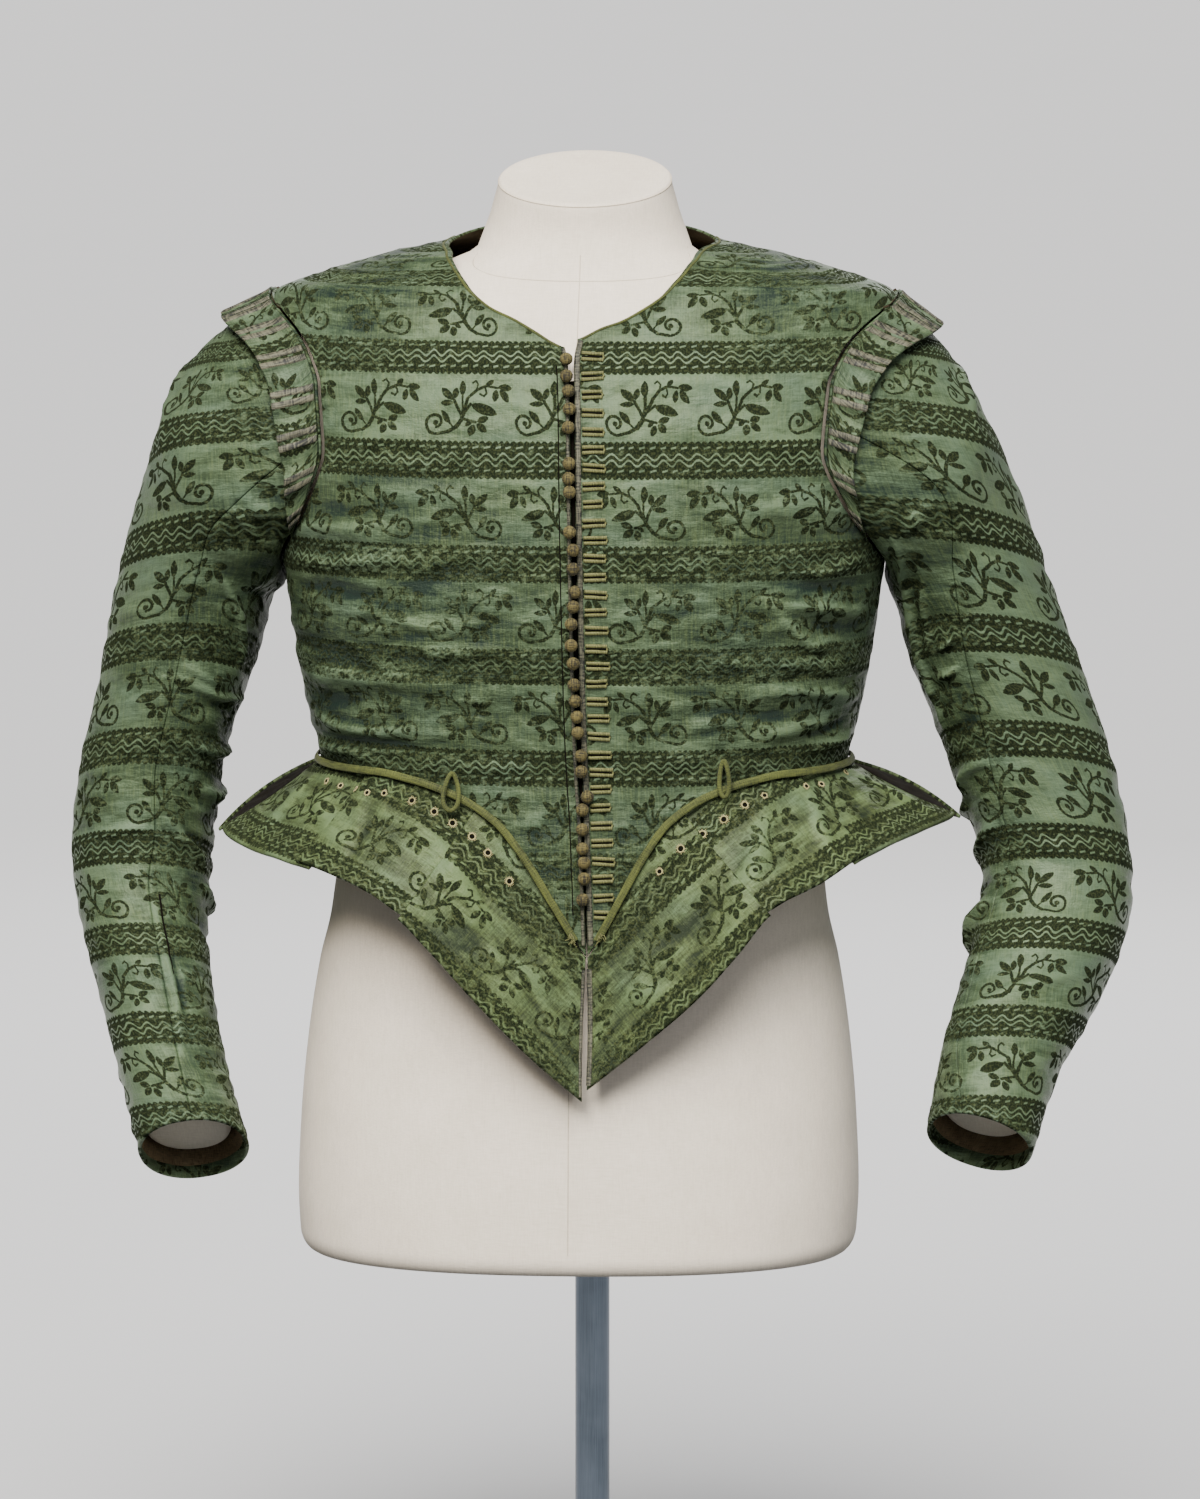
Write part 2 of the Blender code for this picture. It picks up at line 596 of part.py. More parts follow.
def sleeve_surface(side_name, place, phi):
    """Point on the sleeve at a place between 0 (armhole) and 10 (cuff) and an angle round it."""
    last = len(SLEEVE_ROWS[side_name])
    place = min(max(place, 0.0), float(last))
    ring = min(int(place), last - 1)
    part = place - ring
    points = []
    for number in (ring - 1, ring, ring + 1, ring + 2):
        if number < 0:
            points.append(2 * stored_ring(side_name, 0, phi) - stored_ring(side_name, 1, phi))
        elif number > last:
            points.append(2 * stored_ring(side_name, last, phi) - stored_ring(side_name, last - 1, phi))
        else:
            points.append(stored_ring(side_name, number, phi))
    before, start, finish, after = points
    start_slope = (finish - before) / 2
    finish_slope = (after - start) / 2
    if ring == 0:
        start_slope = start_slope * 0.8
    square = part * part
    cube = square * part
    return ((2 * cube - 3 * square + 1) * start + (cube - 2 * square + part) * start_slope
            + (3 * square - 2 * cube) * finish + (cube - square) * finish_slope)


def sleeve_point(side_name, place, phi, outward=0.0):
    point = sleeve_surface(side_name, place, phi)
    if outward == 0.0:
        return point
    low = max(place - 0.03, 0.0)
    high = min(place + 0.03, 10.0)
    along = sleeve_surface(side_name, high, phi) - sleeve_surface(side_name, low, phi)
    around = sleeve_surface(side_name, place, phi + 1.5) - sleeve_surface(side_name, place, phi - 1.5)
    normal = unit(np.cross(along, around)) * -SIDES[side_name]
    return point + outward * normal


def make_sleeve_half(side_name, half, material):
    """Outer or inner half of a sleeve, from the armhole to the cuff."""
    columns = 8
    seam_turn = 0.2
    outside = []
    inside = []
    for column in range(columns + 1):
        share = column / columns
        outside_line = []
        inside_line = []
        for place in SLEEVE_PLACES:
            seam = SEAM[side_name].at("phi", place)
            if half == "outer":
                phi = (BACK_SEAM - 360.0 + seam_turn) * (1 - share) + (seam - seam_turn) * share
            else:
                phi = (seam + seam_turn) * (1 - share) + (BACK_SEAM - seam_turn) * share
            outside_line.append(sleeve_point(side_name, place, phi))
            inside_line.append(sleeve_point(side_name, place, phi, -WALL))
        outside.append(outside_line)
        inside.append(inside_line)
    return wall_solid("sleeve_" + side_name + "_" + half, outside, inside, material)


def wing_point(side_name, phi, share, outward=0.0):
    """Point on the wing: along its free width from the armhole seam to the loose edge."""
    key = min(abs(phi), WING_END_PHI)
    width = WING[side_name].at("width", key)
    stand_off = WING[side_name].at("stand_off", key)
    place = wing_place(side_name, phi, WING_START + width * share)
    return sleeve_point(side_name, place, phi, WING_LIFT + stand_off * share ** 1.3 + outward)


def wing_place(side_name, phi, distance):
    """Place on the sleeve at a distance from the armhole along the cloth."""
    steps = 12
    run = 0.0
    before = sleeve_surface(side_name, 0.0, phi)
    for number in range(1, steps + 1):
        place = 1.2 * number / steps
        point = sleeve_surface(side_name, place, phi)
        piece = np.linalg.norm(point - before)
        if run + piece >= distance:
            return 1.2 * (number - 1 + (distance - run) / piece) / steps
        run += piece
        before = point
    return 1.2


def wing_columns(side_name):
    """Angles round the wing with four columns at each raised bar."""
    samples = np.linspace(-WING_END_PHI, WING_END_PHI, 181)
    points = [sleeve_surface(side_name, 0.35, phi) for phi in samples]
    lengths = np.concatenate([[0.0], np.cumsum([np.linalg.norm(b - a) for a, b in zip(points, points[1:])])])
    total = lengths[-1]
    columns = [(-WING_END_PHI, 0.0)]
    for number in range(WING_RIB_COUNT):
        middle = total * (number + 0.75) / (WING_RIB_COUNT + 0.5)
        slope = 0.8 * MM
        half = WING_RIB_WIDTH / 2
        for place, height in ((middle - half - slope, 0.0), (middle - half, 1.0),
                              (middle + half, 1.0), (middle + half + slope, 0.0)):
            columns.append((float(np.interp(place, lengths, samples)), height))
    columns.append((WING_END_PHI, 0.0))
    return columns


def make_wing(side_name, material):
    """Crescent wing over the sleeve head with raised bars of braid across it."""
    shares = [0.0, 0.5, 1.0]
    under = 0.0
    outside = []
    inside = []
    for phi, raised in wing_columns(side_name):
        rib = WING_RIB_HEIGHT * raised
        outside.append([wing_point(side_name, phi, share, WALL + rib) for share in shares])
        inside.append([wing_point(side_name, phi, share, under) for share in shares])
    return wall_solid("wing_" + side_name, outside, inside, material)


def waist_slant(side, angle):
    """Length along the waist seam for each length measured level."""
    low = max(angle - 0.5, 0.0)
    high = min(angle + 0.5, 180.0)
    run = (body_point(side, high, WAIST.at("height", high)) - body_point(side, low, WAIST.at("height", low)))
    return np.linalg.norm(run) / np.linalg.norm(run[:2])


def lap_surface(side_name, along, down):
    """Point between the waist seam and the laps' lower edge."""
    side = SIDES[side_name]
    hem = HEM[side_name]
    angle = hem.at("waist_angle", along)
    start = body_point(side, angle, WAIST.at("height", angle))
    start = start - np.array([0.0, 0.0, SEAM_GAP * waist_slant(side, angle)])
    finish = np.array([side * hem.at("out", along), hem.at("y", along), hem.at("z", along)])
    return start + (finish - start) * down


def lap_point(side_name, along, down, outward=0.0, bow=LAP_BOW):
    point = lap_surface(side_name, along, down)
    low = max(along - 0.02, 0.0)
    high = min(along + 0.02, 4.0)
    sideways = lap_surface(side_name, high, down) - lap_surface(side_name, low, down)
    downwards = lap_surface(side_name, along, 1.0) - lap_surface(side_name, along, 0.0)
    normal = unit(np.cross(sideways, downwards)) * -SIDES[side_name]
    return point + (outward - bow * 4.0 * down * (1.0 - down)) * normal


def lap_tuck(along, start, tuck):
    """Inward shift of a lap's leading edge where it runs under the lap in front."""
    if tuck <= 0.0:
        return 0.0
    fade = (along - start - 0.03) / 0.22
    fade = min(max(fade, 0.0), 1.0)
    return -LAP_LAYER * (1.0 - fade * fade * (3.0 - 2.0 * fade))


def lap_positions(side_name, first, last):
    """Positions along a lap whose waist angles match the columns of the panels above."""
    hem = HEM[side_name]
    angles = [90.0 * (number / FRONT_COLUMNS) ** FRONT_SPREAD for number in range(FRONT_COLUMNS + 1)]
    angles += [180.0 - 90.0 * (number / BACK_COLUMNS) ** BACK_SPREAD for number in range(BACK_COLUMNS)]
    fine = np.linspace(0.0, 4.0, 801)
    waist_angles = [hem.at("waist_angle", place) for place in fine]
    places = sorted(float(np.interp(angle, waist_angles, fine)) for angle in angles)
    inner = [place for place in places if first + 0.03 < place < last - 0.03]
    return [first] + inner + [last]


def make_lap(side_name, row, material):
    name, start, end, tuck, depth_share, bow = row
    rows = 5
    first = start - tuck
    end_share = end if end == 4.0 else end - 0.004
    outside = []
    inside = []
    for along in lap_positions(side_name, first, end_share):
        shift = lap_tuck(along, start, tuck)
        local_bow = bow if bow > 0 else LAP_BOW + (bow - LAP_BOW) * max(0.0, 1.0 - (along - start) / 0.4)
        outside.append([lap_point(side_name, along, depth_share * down / rows, shift, local_bow)
                        for down in range(rows + 1)])
        inside.append([lap_point(side_name, along, depth_share * down / rows, shift - WALL, local_bow)
                       for down in range(rows + 1)])
    return wall_solid("lap_" + side_name + "_" + name, outside, inside, material)


def waist_frame(side_name, angle):
    """Seam point, direction across the cord and mean outward direction at the waist."""
    side = SIDES[side_name]
    hem = HEM[side_name]
    keys = hem.rows[:, 1]
    along = float(np.interp(angle, keys, hem.rows[:, 0]))
    seam = body_point(side, angle, WAIST.at("height", angle)) - np.array([0.0, 0.0, SEAM_GAP / 2])
    above = section_normal(BODY, side, angle, WAIST.at("height", angle))
    below = unit(lap_point(side_name, along, 0.02, 0.001) - lap_point(side_name, along, 0.02))
    mean = unit(above + below)
    spread = math.acos(max(-1.0, min(1.0, float(np.dot(above, below)))))
    return seam, mean, spread


def make_cord(side_name, material):
    """Flat cord over the waist seam from the centre front round to the centre back."""
    angles = np.concatenate([np.linspace(1.4, 30.0, 14), np.linspace(37.5, 180.0, 20)])
    frames = [waist_frame(side_name, angle) for angle in angles]
    rings = []
    for number, (seam, mean, spread) in enumerate(frames):
        ahead = frames[min(number + 1, len(frames) - 1)][0]
        behind = frames[max(number - 1, 0)][0]
        run = unit(ahead - behind)
        if number == len(frames) - 1:
            run = np.array([-SIDES[side_name] * 1.0, 0.0, 0.0])
            seam = seam + np.array([SIDES[side_name] * 0.3 * MM, 0.0, 0.0])
        across = unit(np.cross(run, mean))
        half = CORD_WIDTH / 2
        rise = CORD_CLEARANCE + half * math.sin(spread / 2) * 1.15
        low = seam + mean * rise
        high = low + mean * CORD_THICKNESS
        rings.append([low - across * half, low + across * half, high + across * half * 0.8,
                      high - across * half * 0.8])
    return ring_solid("waist_cord_" + side_name, rings, material)


def make_waist_loop(side_name, material):
    """Small upright loop of round cord standing on the waist cord."""
    side = SIDES[side_name]
    angle, height, width, drop, lean = LOOP_ROWS[side_name]
    seam, mean, spread = waist_frame(side_name, angle)
    foot = seam + mean * (CORD_CLEARANCE + CORD_WIDTH / 2 * math.sin(spread / 2) * 1.15 + CORD_THICKNESS)
    foot = foot + mean * (LOOP_CORD / 2 + 1.3 * MM)
    ahead = waist_frame(side_name, angle + 1.0)[0]
    level = unit(ahead - seam)
    level = unit(np.array([level[0], level[1], 0.0]))
    upward = np.array([side * 0.10, 0.0, 1.0])
    upward = unit(upward - level * float(np.dot(upward, level)))
    upward = unit(upward - mean * float(np.dot(upward, mean)) * lean)
    outwards = unit(np.cross(level, upward))
    if float(np.dot(outwards, mean)) < 0:
        outwards = -outwards
    count = 14
    sides = 6
    rings = []
    middle = []
    for number in range(count):
        turn = 2 * math.pi * number / count
        rise = height * 0.5 * (1 - math.cos(turn)) - drop
        spread_out = width / 2 * math.sin(turn) * (0.72 + 0.28 * math.cos(turn))
        middle.append(foot + upward * rise + level * spread_out + outwards * 0.0015 * math.sin(turn))
    for number in range(count):
        run = unit(middle[(number + 1) % count] - middle[number - 1])
        first = unit(np.cross(run, outwards))
        second = unit(np.cross(run, first))
        ring = []
        for spot in range(sides):
            turn = 2 * math.pi * spot / sides
            ring.append(middle[number] + LOOP_CORD / 2 * (math.cos(turn) * first + math.sin(turn) * second))
        rings.append(ring)
    vertices = [point for ring in rings for point in ring]
    faces = []
    for number in range(count):
        following = (number + 1) % count
        for spot in range(sides):
            beside = (spot + 1) % sides
            faces.append((number * sides + spot, number * sides + beside,
                          following * sides + beside, following * sides + spot))
    return finish_mesh("waist_loop_" + side_name, vertices, faces, material)


def make_button(number, offset, height, material):
    """Thread button resting just clear of the front edges."""
    edge = body_point(RIGHT, 0.0, height)
    normal = section_normal(BODY, RIGHT, 0.0, height)
    half_gap = 0.5 * GAP.at("width", height)
    radius = BUTTON_DIAMETER / 2
    centre = edge + np.array([half_gap + offset, 0.0, 0.0])
    centre = centre + normal * (radius * BUTTON_FLATNESS + 0.4 * MM)
    bpy.ops.mesh.primitive_uv_sphere_add(segments=8, ring_count=5, radius=radius)
    thing = bpy.context.active_object
    thing.name = "button_%02d" % number
    thing.data.name = thing.name
    pitch = math.atan2(normal[2], -normal[1])
    for vertex in thing.data.vertices:
        x, y, z = vertex.co
        depth = z * BUTTON_FLATNESS
        rise = y
        vertex.co = (centre[0] + x + DRESS_SHIFT,
                     centre[1] - depth * math.cos(pitch) + rise * math.sin(pitch),
                     centre[2] + rise * math.cos(pitch) + depth * math.sin(pitch))
    for face in thing.data.polygons:
        face.use_smooth = True
    thing.data.materials.append(material)
    return thing


def make_form(material):
    """Padded torso with a neck block whose flat top slants down to the front."""
    count = 26
    low_heights = [FORM_BOTTOM, FORM_BOTTOM + 0.3 * FORM_EDGE_RADIUS, FORM_BOTTOM + FORM_EDGE_RADIUS]
    low_shrink = [0.66 * FORM_EDGE_RADIUS, 0.15 * FORM_EDGE_RADIUS, 0.0]
    heights = low_heights + [0.350, 0.400, 0.450, 0.500, 0.545, 0.590, 0.630, 0.670, 0.715, 0.760,
                             0.805, 0.850, 0.885, 0.912, 0.930, 0.943, 0.954, 0.964]
    rings = []
    for number, height in enumerate(heights):
        shrink = low_shrink[number] if number < 3 else 0.0
        ring = []
        for spot in range(count):
            turn = 360.0 * (spot + 0.5) / count
            side = 1 if turn <= 180.0 else -1
            angle = turn if turn <= 180.0 else 360.0 - turn
            point = section_point(FORM, side, angle, height)
            point[0] += FORM_SHIFT.at("shift", height)
            inward = section_normal(FORM, side, angle, height)
            point = point - inward * shrink
            point[2] = height
            ring.append(point)
        rings.append(ring)
    for drop, shrink, level in ((0.011, 0.0, 0.990), (0.002, 0.0, 1.010), (0.0, 0.0016, 1.010)):
        ring = []
        for spot in range(count):
            turn = 360.0 * (spot + 0.5) / count
            side = 1 if turn <= 180.0 else -1
            angle = turn if turn <= 180.0 else 360.0 - turn
            point = section_point(FORM, side, angle, level)
            point = point - unit(np.array([point[0], point[1], 0.0])) * shrink
            rise = (point[1] - 0.010) * math.tan(NECK_TOP_SLANT)
            ring.append(np.array([point[0], point[1], NECK_TOP_HEIGHT + rise - drop]))
        rings.append(ring)
    return ring_solid("form_torso", rings, material)


def make_sleeve_pad(side_name, material):
    """Soft filling of a sleeve, ending a little inside the cuff."""
    count = 10
    places = [1.15, 1.3, 2.0, 2.8, 3.6, 4.4, 5.2, 6.0, 6.8, 7.6, 8.4, 9.2, 9.6, 9.68]
    rings = []
    for number, place in enumerate(places):
        inset = PAD_INSET + (5.0 * MM if number in (0, len(places) - 1) else 0.0)
        rings.append([sleeve_point(side_name, place, 360.0 * spot / count, -inset) for spot in range(count)])
    return ring_solid("sleeve_pad_" + side_name, rings, material)


def turned_solid(name, profile, count, material):
    """Solid turned about the vertical axis from radius and height pairs."""
    rings = []
    for radius, height in profile:
        rings.append([np.array([radius * math.cos(2 * math.pi * spot / count),
                                radius * math.sin(2 * math.pi * spot / count), height])
                      for spot in range(count)])
    return ring_solid(name, rings, material, shift=0.0)


def clear_scene():
    for thing in list(bpy.data.objects):
        bpy.data.objects.remove(thing, do_unlink=True)


def main():
    clear_scene()
    silk = {name: make_material(name + "_silk", (0.105, 0.190, 0.100), 0.55)
            for name in ("front", "back", "sleeve_outer", "sleeve_inner", "lap", "wing")}
    cord = make_material("cord_silk", (0.230, 0.260, 0.070), 0.70)
    thread = make_material("button_thread", (0.270, 0.210, 0.090), 0.75)
    linen = make_material("form_linen", (0.800, 0.765, 0.690), 0.90)
    pad_linen = make_material("pad_linen", (0.780, 0.740, 0.650), 0.90)
    steel = make_material("pole_steel", (0.360, 0.420, 0.470), 0.35, 1.0)
    base_steel = make_material("base_steel", (0.330, 0.360, 0.390), 0.45, 1.0)
    for side_name in SIDES:
        make_front(side_name, silk["front"])
        make_back(side_name, silk["back"])
        make_sleeve_half(side_name, "outer", silk["sleeve_outer"])
        make_sleeve_half(side_name, "inner", silk["sleeve_inner"])
        make_wing(side_name, silk["wing"])
        for row in LAP_ROWS:
            make_lap(side_name, row, silk["lap"])
        make_cord(side_name, cord)
        make_waist_loop(side_name, cord)
        make_sleeve_pad(side_name, pad_linen)
    for number, (offset, height) in enumerate(BUTTON_ROWS, start=1):
        make_button(number, offset, height, thread)
    make_form(linen)
    radius = POLE_DIAMETER / 2
    turned_solid("stand_pole", [(radius, BASE_THICKNESS + 0.0003), (radius, FORM_BOTTOM - 0.0003)], 24, steel)
    edge = 0.0015
    turned_solid("stand_base", [(BASE_RADIUS - edge, 0.0), (BASE_RADIUS, edge),
                                (BASE_RADIUS, BASE_THICKNESS - edge), (BASE_RADIUS - edge, BASE_THICKNESS)],
                 48, base_steel)


main()
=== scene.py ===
"""Green silk doublet with cut-pile figures on its padded form and stand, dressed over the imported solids.

Metres, Z up, front towards -Y. "right" and "left" are the wearer's, so right lies on -X.
Cloth lies on the same surfaces as the solids, from the same tables, on finer grids: an outer grid
with creases and turned edges, and an inner grid one wall below it. Every cloth piece carries its
own flat cloth coordinates in metres, and the woven figures are drawn from those.
"""

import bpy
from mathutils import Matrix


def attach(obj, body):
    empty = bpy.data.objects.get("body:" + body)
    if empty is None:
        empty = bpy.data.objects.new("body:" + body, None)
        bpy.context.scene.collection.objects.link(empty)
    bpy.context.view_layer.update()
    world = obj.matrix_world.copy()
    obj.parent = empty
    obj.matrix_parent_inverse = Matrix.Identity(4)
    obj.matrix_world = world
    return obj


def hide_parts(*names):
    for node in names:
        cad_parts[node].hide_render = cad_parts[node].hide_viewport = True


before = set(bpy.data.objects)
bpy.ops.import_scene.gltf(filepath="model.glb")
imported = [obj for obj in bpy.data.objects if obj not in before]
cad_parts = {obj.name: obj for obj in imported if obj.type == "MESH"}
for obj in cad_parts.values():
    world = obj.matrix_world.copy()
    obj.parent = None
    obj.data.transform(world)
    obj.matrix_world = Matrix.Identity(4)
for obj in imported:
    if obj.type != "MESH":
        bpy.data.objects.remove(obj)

import ast
import logging
import math
from dataclasses import dataclass, field
from enum import Enum
from typing import Callable, Dict, List, Optional, Sequence, Tuple, Union

import bmesh
import bpy
import numpy as np
from mathutils.bvhtree import BVHTree

LOG = logging.getLogger("doublet")
Array = np.ndarray
Socket = bpy.types.NodeSocket
Colour = Tuple[float, float, float, float]
Path = Tuple[Array, Array, bool]

MM = 0.001
WALL = 2.2 * MM
SEAM_GAP = 0.5 * MM
LAP_LAYER = 2.9 * MM
LAP_BOW = 2.5 * MM
CORD_WIDTH = 5.0 * MM
CORD_THICKNESS = 1.9 * MM
CORD_CLEARANCE = 1.1 * MM
LOOP_CORD = 3.0 * MM
WING_LIFT = 0.7 * MM
WING_START = 1.2 * MM
WING_RIB_COUNT = 15
WING_END_PHI = 141.0
PAD_INSET = 6.5 * MM
SLEEVE_HEAD_GAP = 1.8 * MM
BUTTON_DIAMETER = 8.6 * MM
BUTTON_FLATNESS = 0.86
SLEEVE_ROUNDNESS = 2.15
SLEEVE_MIDDLE = 12 * MM
CROWN_LEVEL = 0.86
# a degree round a sleeve and one ring down it, and a quarter of a side and the depth of a lap, in crease coordinates
SLEEVE_DEGREE = 0.85 * MM
SLEEVE_RING = 64 * MM
LAP_QUARTER = 110 * MM
LAP_DEPTH = 70 * MM
NECK_TOP_HEIGHT = 1.0078
NECK_TOP_SLANT = math.radians(16.5)
FORM_BOTTOM = 0.311
FORM_EDGE_RADIUS = 0.012
POLE_RADIUS = 0.01125
BASE_RADIUS = 0.170
BASE_THICKNESS = 0.012
UNDERARM_PHI = 180.0
SHOULDER_HEIGHT = 0.934
BACK_SEAM = 268.0
DRESS_SHIFT = -0.005
CLOTH_STEP = 2.7 * MM
SIDE_WAIST_HEIGHT = 0.631
CHEST_LEVEL = 0.880
SLOPE_STEP = 1.5 * MM
EDGE_FADE = 14.0
FULL_FOLD = 2.5 * MM
DEEPEST_FOLD = -1.6 * MM
HIGHEST_FOLD = 9.0 * MM
SEAM_ALLOWANCE = 12 * MM

# repeat of the woven figures, in millimetres of cloth
BAND_HEIGHT = 24.0
ROW_HEIGHT = 65.5
SPRIG_PITCH = 59.0
BAND_LEVEL = 0.8348


class Side(Enum):
    """The wearer's two sides, with the sign of X on which each lies."""

    RIGHT = "right"
    LEFT = "left"

    @property
    def sign(self) -> int:
        """Minus one on the wearer's right, plus one on the left."""
        return -1 if self is Side.RIGHT else 1


class Layer(Enum):
    """Material slots of a cloth piece; only a wing has braid."""

    FACE = 0
    LINING = 1
    BRAID = 2


def unit(vectors: Array) -> Array:
    """Vectors scaled to length one along their last axis."""
    length = np.linalg.norm(vectors, axis=-1, keepdims=True)
    return vectors / np.maximum(length, 1e-12)


def smooth(values: Array) -> Array:
    """Ease from 0 to 1 with level ends."""
    part = np.clip(values, 0.0, 1.0)
    return part * part * (3.0 - 2.0 * part)


def hang(name: str, data: bpy.types.ID) -> bpy.types.Object:
    """Put a new object with the given data into the scene."""
    thing = bpy.data.objects.new(name, data)
    bpy.context.scene.collection.objects.link(thing)
    return thing


def paired(first: Union[float, Array], second: Union[float, Array]) -> Sequence[Array]:
    """Two numbers or arrays spread over one another."""
    return np.broadcast_arrays(np.asarray(first, float), np.asarray(second, float))


def cubic(part: Array, start: Array, finish: Array, start_slope: Array, finish_slope: Array) -> Array:
    """Run from one value to the next that leaves and arrives at the given slopes."""
    square = part * part
    cube = square * part
    return ((2 * cube - 3 * square + 1) * start + (cube - 2 * square + part) * start_slope
            + (3 * square - 2 * cube) * finish + (cube - square) * finish_slope)


def grid_run(points: Array, axis: int) -> Array:
    """Length along one axis of a grid or a path, from its start."""
    steps = np.linalg.norm(np.diff(points, axis=axis), axis=-1)
    return np.concatenate([np.zeros_like(np.take(steps, [0], axis=axis)), np.cumsum(steps, axis=axis)], axis=axis)


def walked(walk: Callable[[float], Array], steps: int) -> Array:
    """Length of the ways that points go while a share grows from nothing to one."""
    return grid_run(np.stack([walk(number / steps) for number in range(steps + 1)]), 0)[-1]


def chart_of(first: Array, second: Array) -> Array:
    """Pairs of two coordinates."""
    return np.stack([first, second], axis=-1)


class SmoothTable:
    """Rows of named columns read at any keys by a cubic that never overshoots its rows."""

    def __init__(self, columns: str, numbers: Sequence[float]) -> None:
        """Work out the slopes at the rows.

        Args:
            columns: names of the columns, the key first, with a star after those in millimetres.
            numbers: the rows one after another, in rising order of key.
        """
        names = columns.split()
        self.columns = [name.rstrip("*") for name in names]
        scales = [MM if name.endswith("*") else 1.0 for name in names]
        self.rows = np.reshape(np.array(numbers, dtype=float), (-1, len(names))) * scales
        self.keys = self.rows[:, 0]
        rises = np.diff(self.rows, axis=0) / np.diff(self.keys)[:, None]
        before, after = rises[:-1], rises[1:]
        same = before * after > 0
        middle = np.where(same, 2.0 * before * after / np.where(same, before + after, 1.0), 0.0)
        self.slopes = np.concatenate([rises[:1], middle, rises[-1:]])

    def at(self, name: str, key: Union[float, Array]) -> Array:
        """Values of one column at one or more keys.

        Args:
            name: the column.
            key: number or array of keys, held to the ends of the table.

        Returns:
            An array of the keys' shape.
        """
        column = self.columns.index(name)
        held = np.clip(np.asarray(key, dtype=float), self.keys[0], self.keys[-1])
        row = np.clip(np.searchsorted(self.keys, held, side="right") - 1, 0, len(self.keys) - 2)
        span = self.keys[row + 1] - self.keys[row]
        values, slopes = self.rows[:, column], self.slopes[:, column]
        return cubic((held - self.keys[row]) / span, values[row], values[row + 1], slopes[row] * span,
                     slopes[row + 1] * span)


class Sections(SmoothTable):
    """Rounded horizontal sections of a body and the surface through them."""

    def shares(self, angle: Array, height: Array) -> Tuple[Array, Array]:
        """Shares of the half width and of the depth at angles from the centre front."""
        turn, power = np.radians(angle), 2.0 / self.at("roundness", height)
        return np.abs(np.sin(turn)) ** power, np.sign(np.cos(turn)) * np.abs(np.cos(turn)) ** power

    def depth(self, along: Array, height: Array) -> Array:
        """Depth of the front half where the share of it is positive, else of the back half."""
        return np.where(along >= 0, self.at("front", height), self.at("back", height))

    def point(self, sign: Union[int, Array], angle: Array, height: Array) -> Array:
        """Points on the surface.

        Args:
            sign: side on which the points lie.
            angle: degrees from the centre front.
            height: height of each point.

        Returns:
            An array of points, one more axis than angle and height.
        """
        angle, height = paired(angle, height)
        across, along = self.shares(angle, height)
        return np.stack([sign * self.at("half_width", height) * across,
                         self.at("centre_y", height) - self.depth(along, height) * along, height], axis=-1)

    def normal(self, sign: Union[int, Array], angle: Array, height: Array) -> Array:
        """Outward directions of the surface, with point's arguments."""
        angle, height = paired(angle, height)
        across, along = self.shares(angle, height)
        low, high = np.maximum(height - SLOPE_STEP, self.keys[0]), np.minimum(height + SLOPE_STEP, self.keys[-1])
        width_rate, centre_rate = ((self.at(name, high) - self.at(name, low)) / (high - low)
                                   for name in ("half_width", "centre_y"))
        depth_rate = (self.depth(along, high) - self.depth(along, low)) / (high - low)
        half_width, roundness = self.at("half_width", height), self.at("roundness", height)
        depth = self.depth(along, height)
        normal_y = -np.sign(along) * np.abs(along) ** (roundness - 1) / depth
        normal_z = -(across ** roundness * width_rate / half_width
                     + np.abs(along) ** roundness * depth_rate / depth) - normal_y * centre_rate
        return unit(np.stack([sign * across ** (roundness - 1) / half_width, normal_y, normal_z], axis=-1))


# horizontal sections of the doublet's body; a star marks a column in millimetres
BODY = Sections("height* half_width* front* back* roundness centre_y*", (
    480, 171, 127, 120, 2.2, 0, 560, 170, 124, 112, 2.25, 0, 629, 171, 120, 110, 2.35, 0, 660, 178, 122, 114, 2.4,
    0, 700, 186, 127, 120, 2.45, 0, 750, 193, 131, 126, 2.45, 0, 800, 200, 131, 129, 2.45, 0, 850, 206, 125, 128,
    2.4, 3, 890, 209, 113, 121, 2.4, 6, 914, 206, 100, 110, 2.4, 8, 934, 199, 88, 98, 2.4, 8, 945.5, 170, 78, 86,
    2.35, 8, 957, 131, 68, 75, 2.25, 7, 969, 84, 59, 65, 2.05, 6, 982, 71, 53, 60, 2, 6))
# horizontal sections of the padded form
FORM = Sections("height* half_width* front* back* roundness centre_y*", (
    311, 181, 128, 128, 2.4, 0, 350, 183, 128, 128, 2.4, 0, 400, 181, 126, 127, 2.4, 0, 450, 176.5, 122, 124, 2.35,
    0, 500, 169, 118, 119, 2.3, 0, 530, 162, 116, 114, 2.3, 0, 560, 158, 115, 104, 2.3, 0, 600, 152, 111, 102, 2.3,
    0, 630, 152, 110, 101, 2.3, 0, 660, 160, 113, 105, 2.35, 0, 700, 172, 118, 111, 2.4, 0, 750, 181, 122, 117, 2.4,
    0, 800, 188, 122, 120, 2.4, 0, 850, 191, 116, 119, 2.35, 3, 890, 189, 104, 111, 2.35, 6, 912, 181, 91, 100,
    2.35, 8, 929, 164, 78, 87, 2.35, 8, 941, 132, 68, 75, 2.25, 8, 951, 96, 60, 65, 2.1, 7, 962, 70, 54, 58, 2, 6,
    975, 62.4, 50, 55, 2, 6, 997, 57, 50, 54, 2, 6, 1030, 54.8, 50, 54, 2, 6))
# sideways set of the form below the waist
FORM_SHIFT = SmoothTable("height* shift*", (
    300, -4, 540, -3, 630, 0, 700, 0))
# sideways run of the centre front line
LEAN = SmoothTable("height* shift*", (
    430, 9, 520, 8, 600, 5.2, 667, 2.4, 735, 1.1, 868, -1.6, 910, -4))
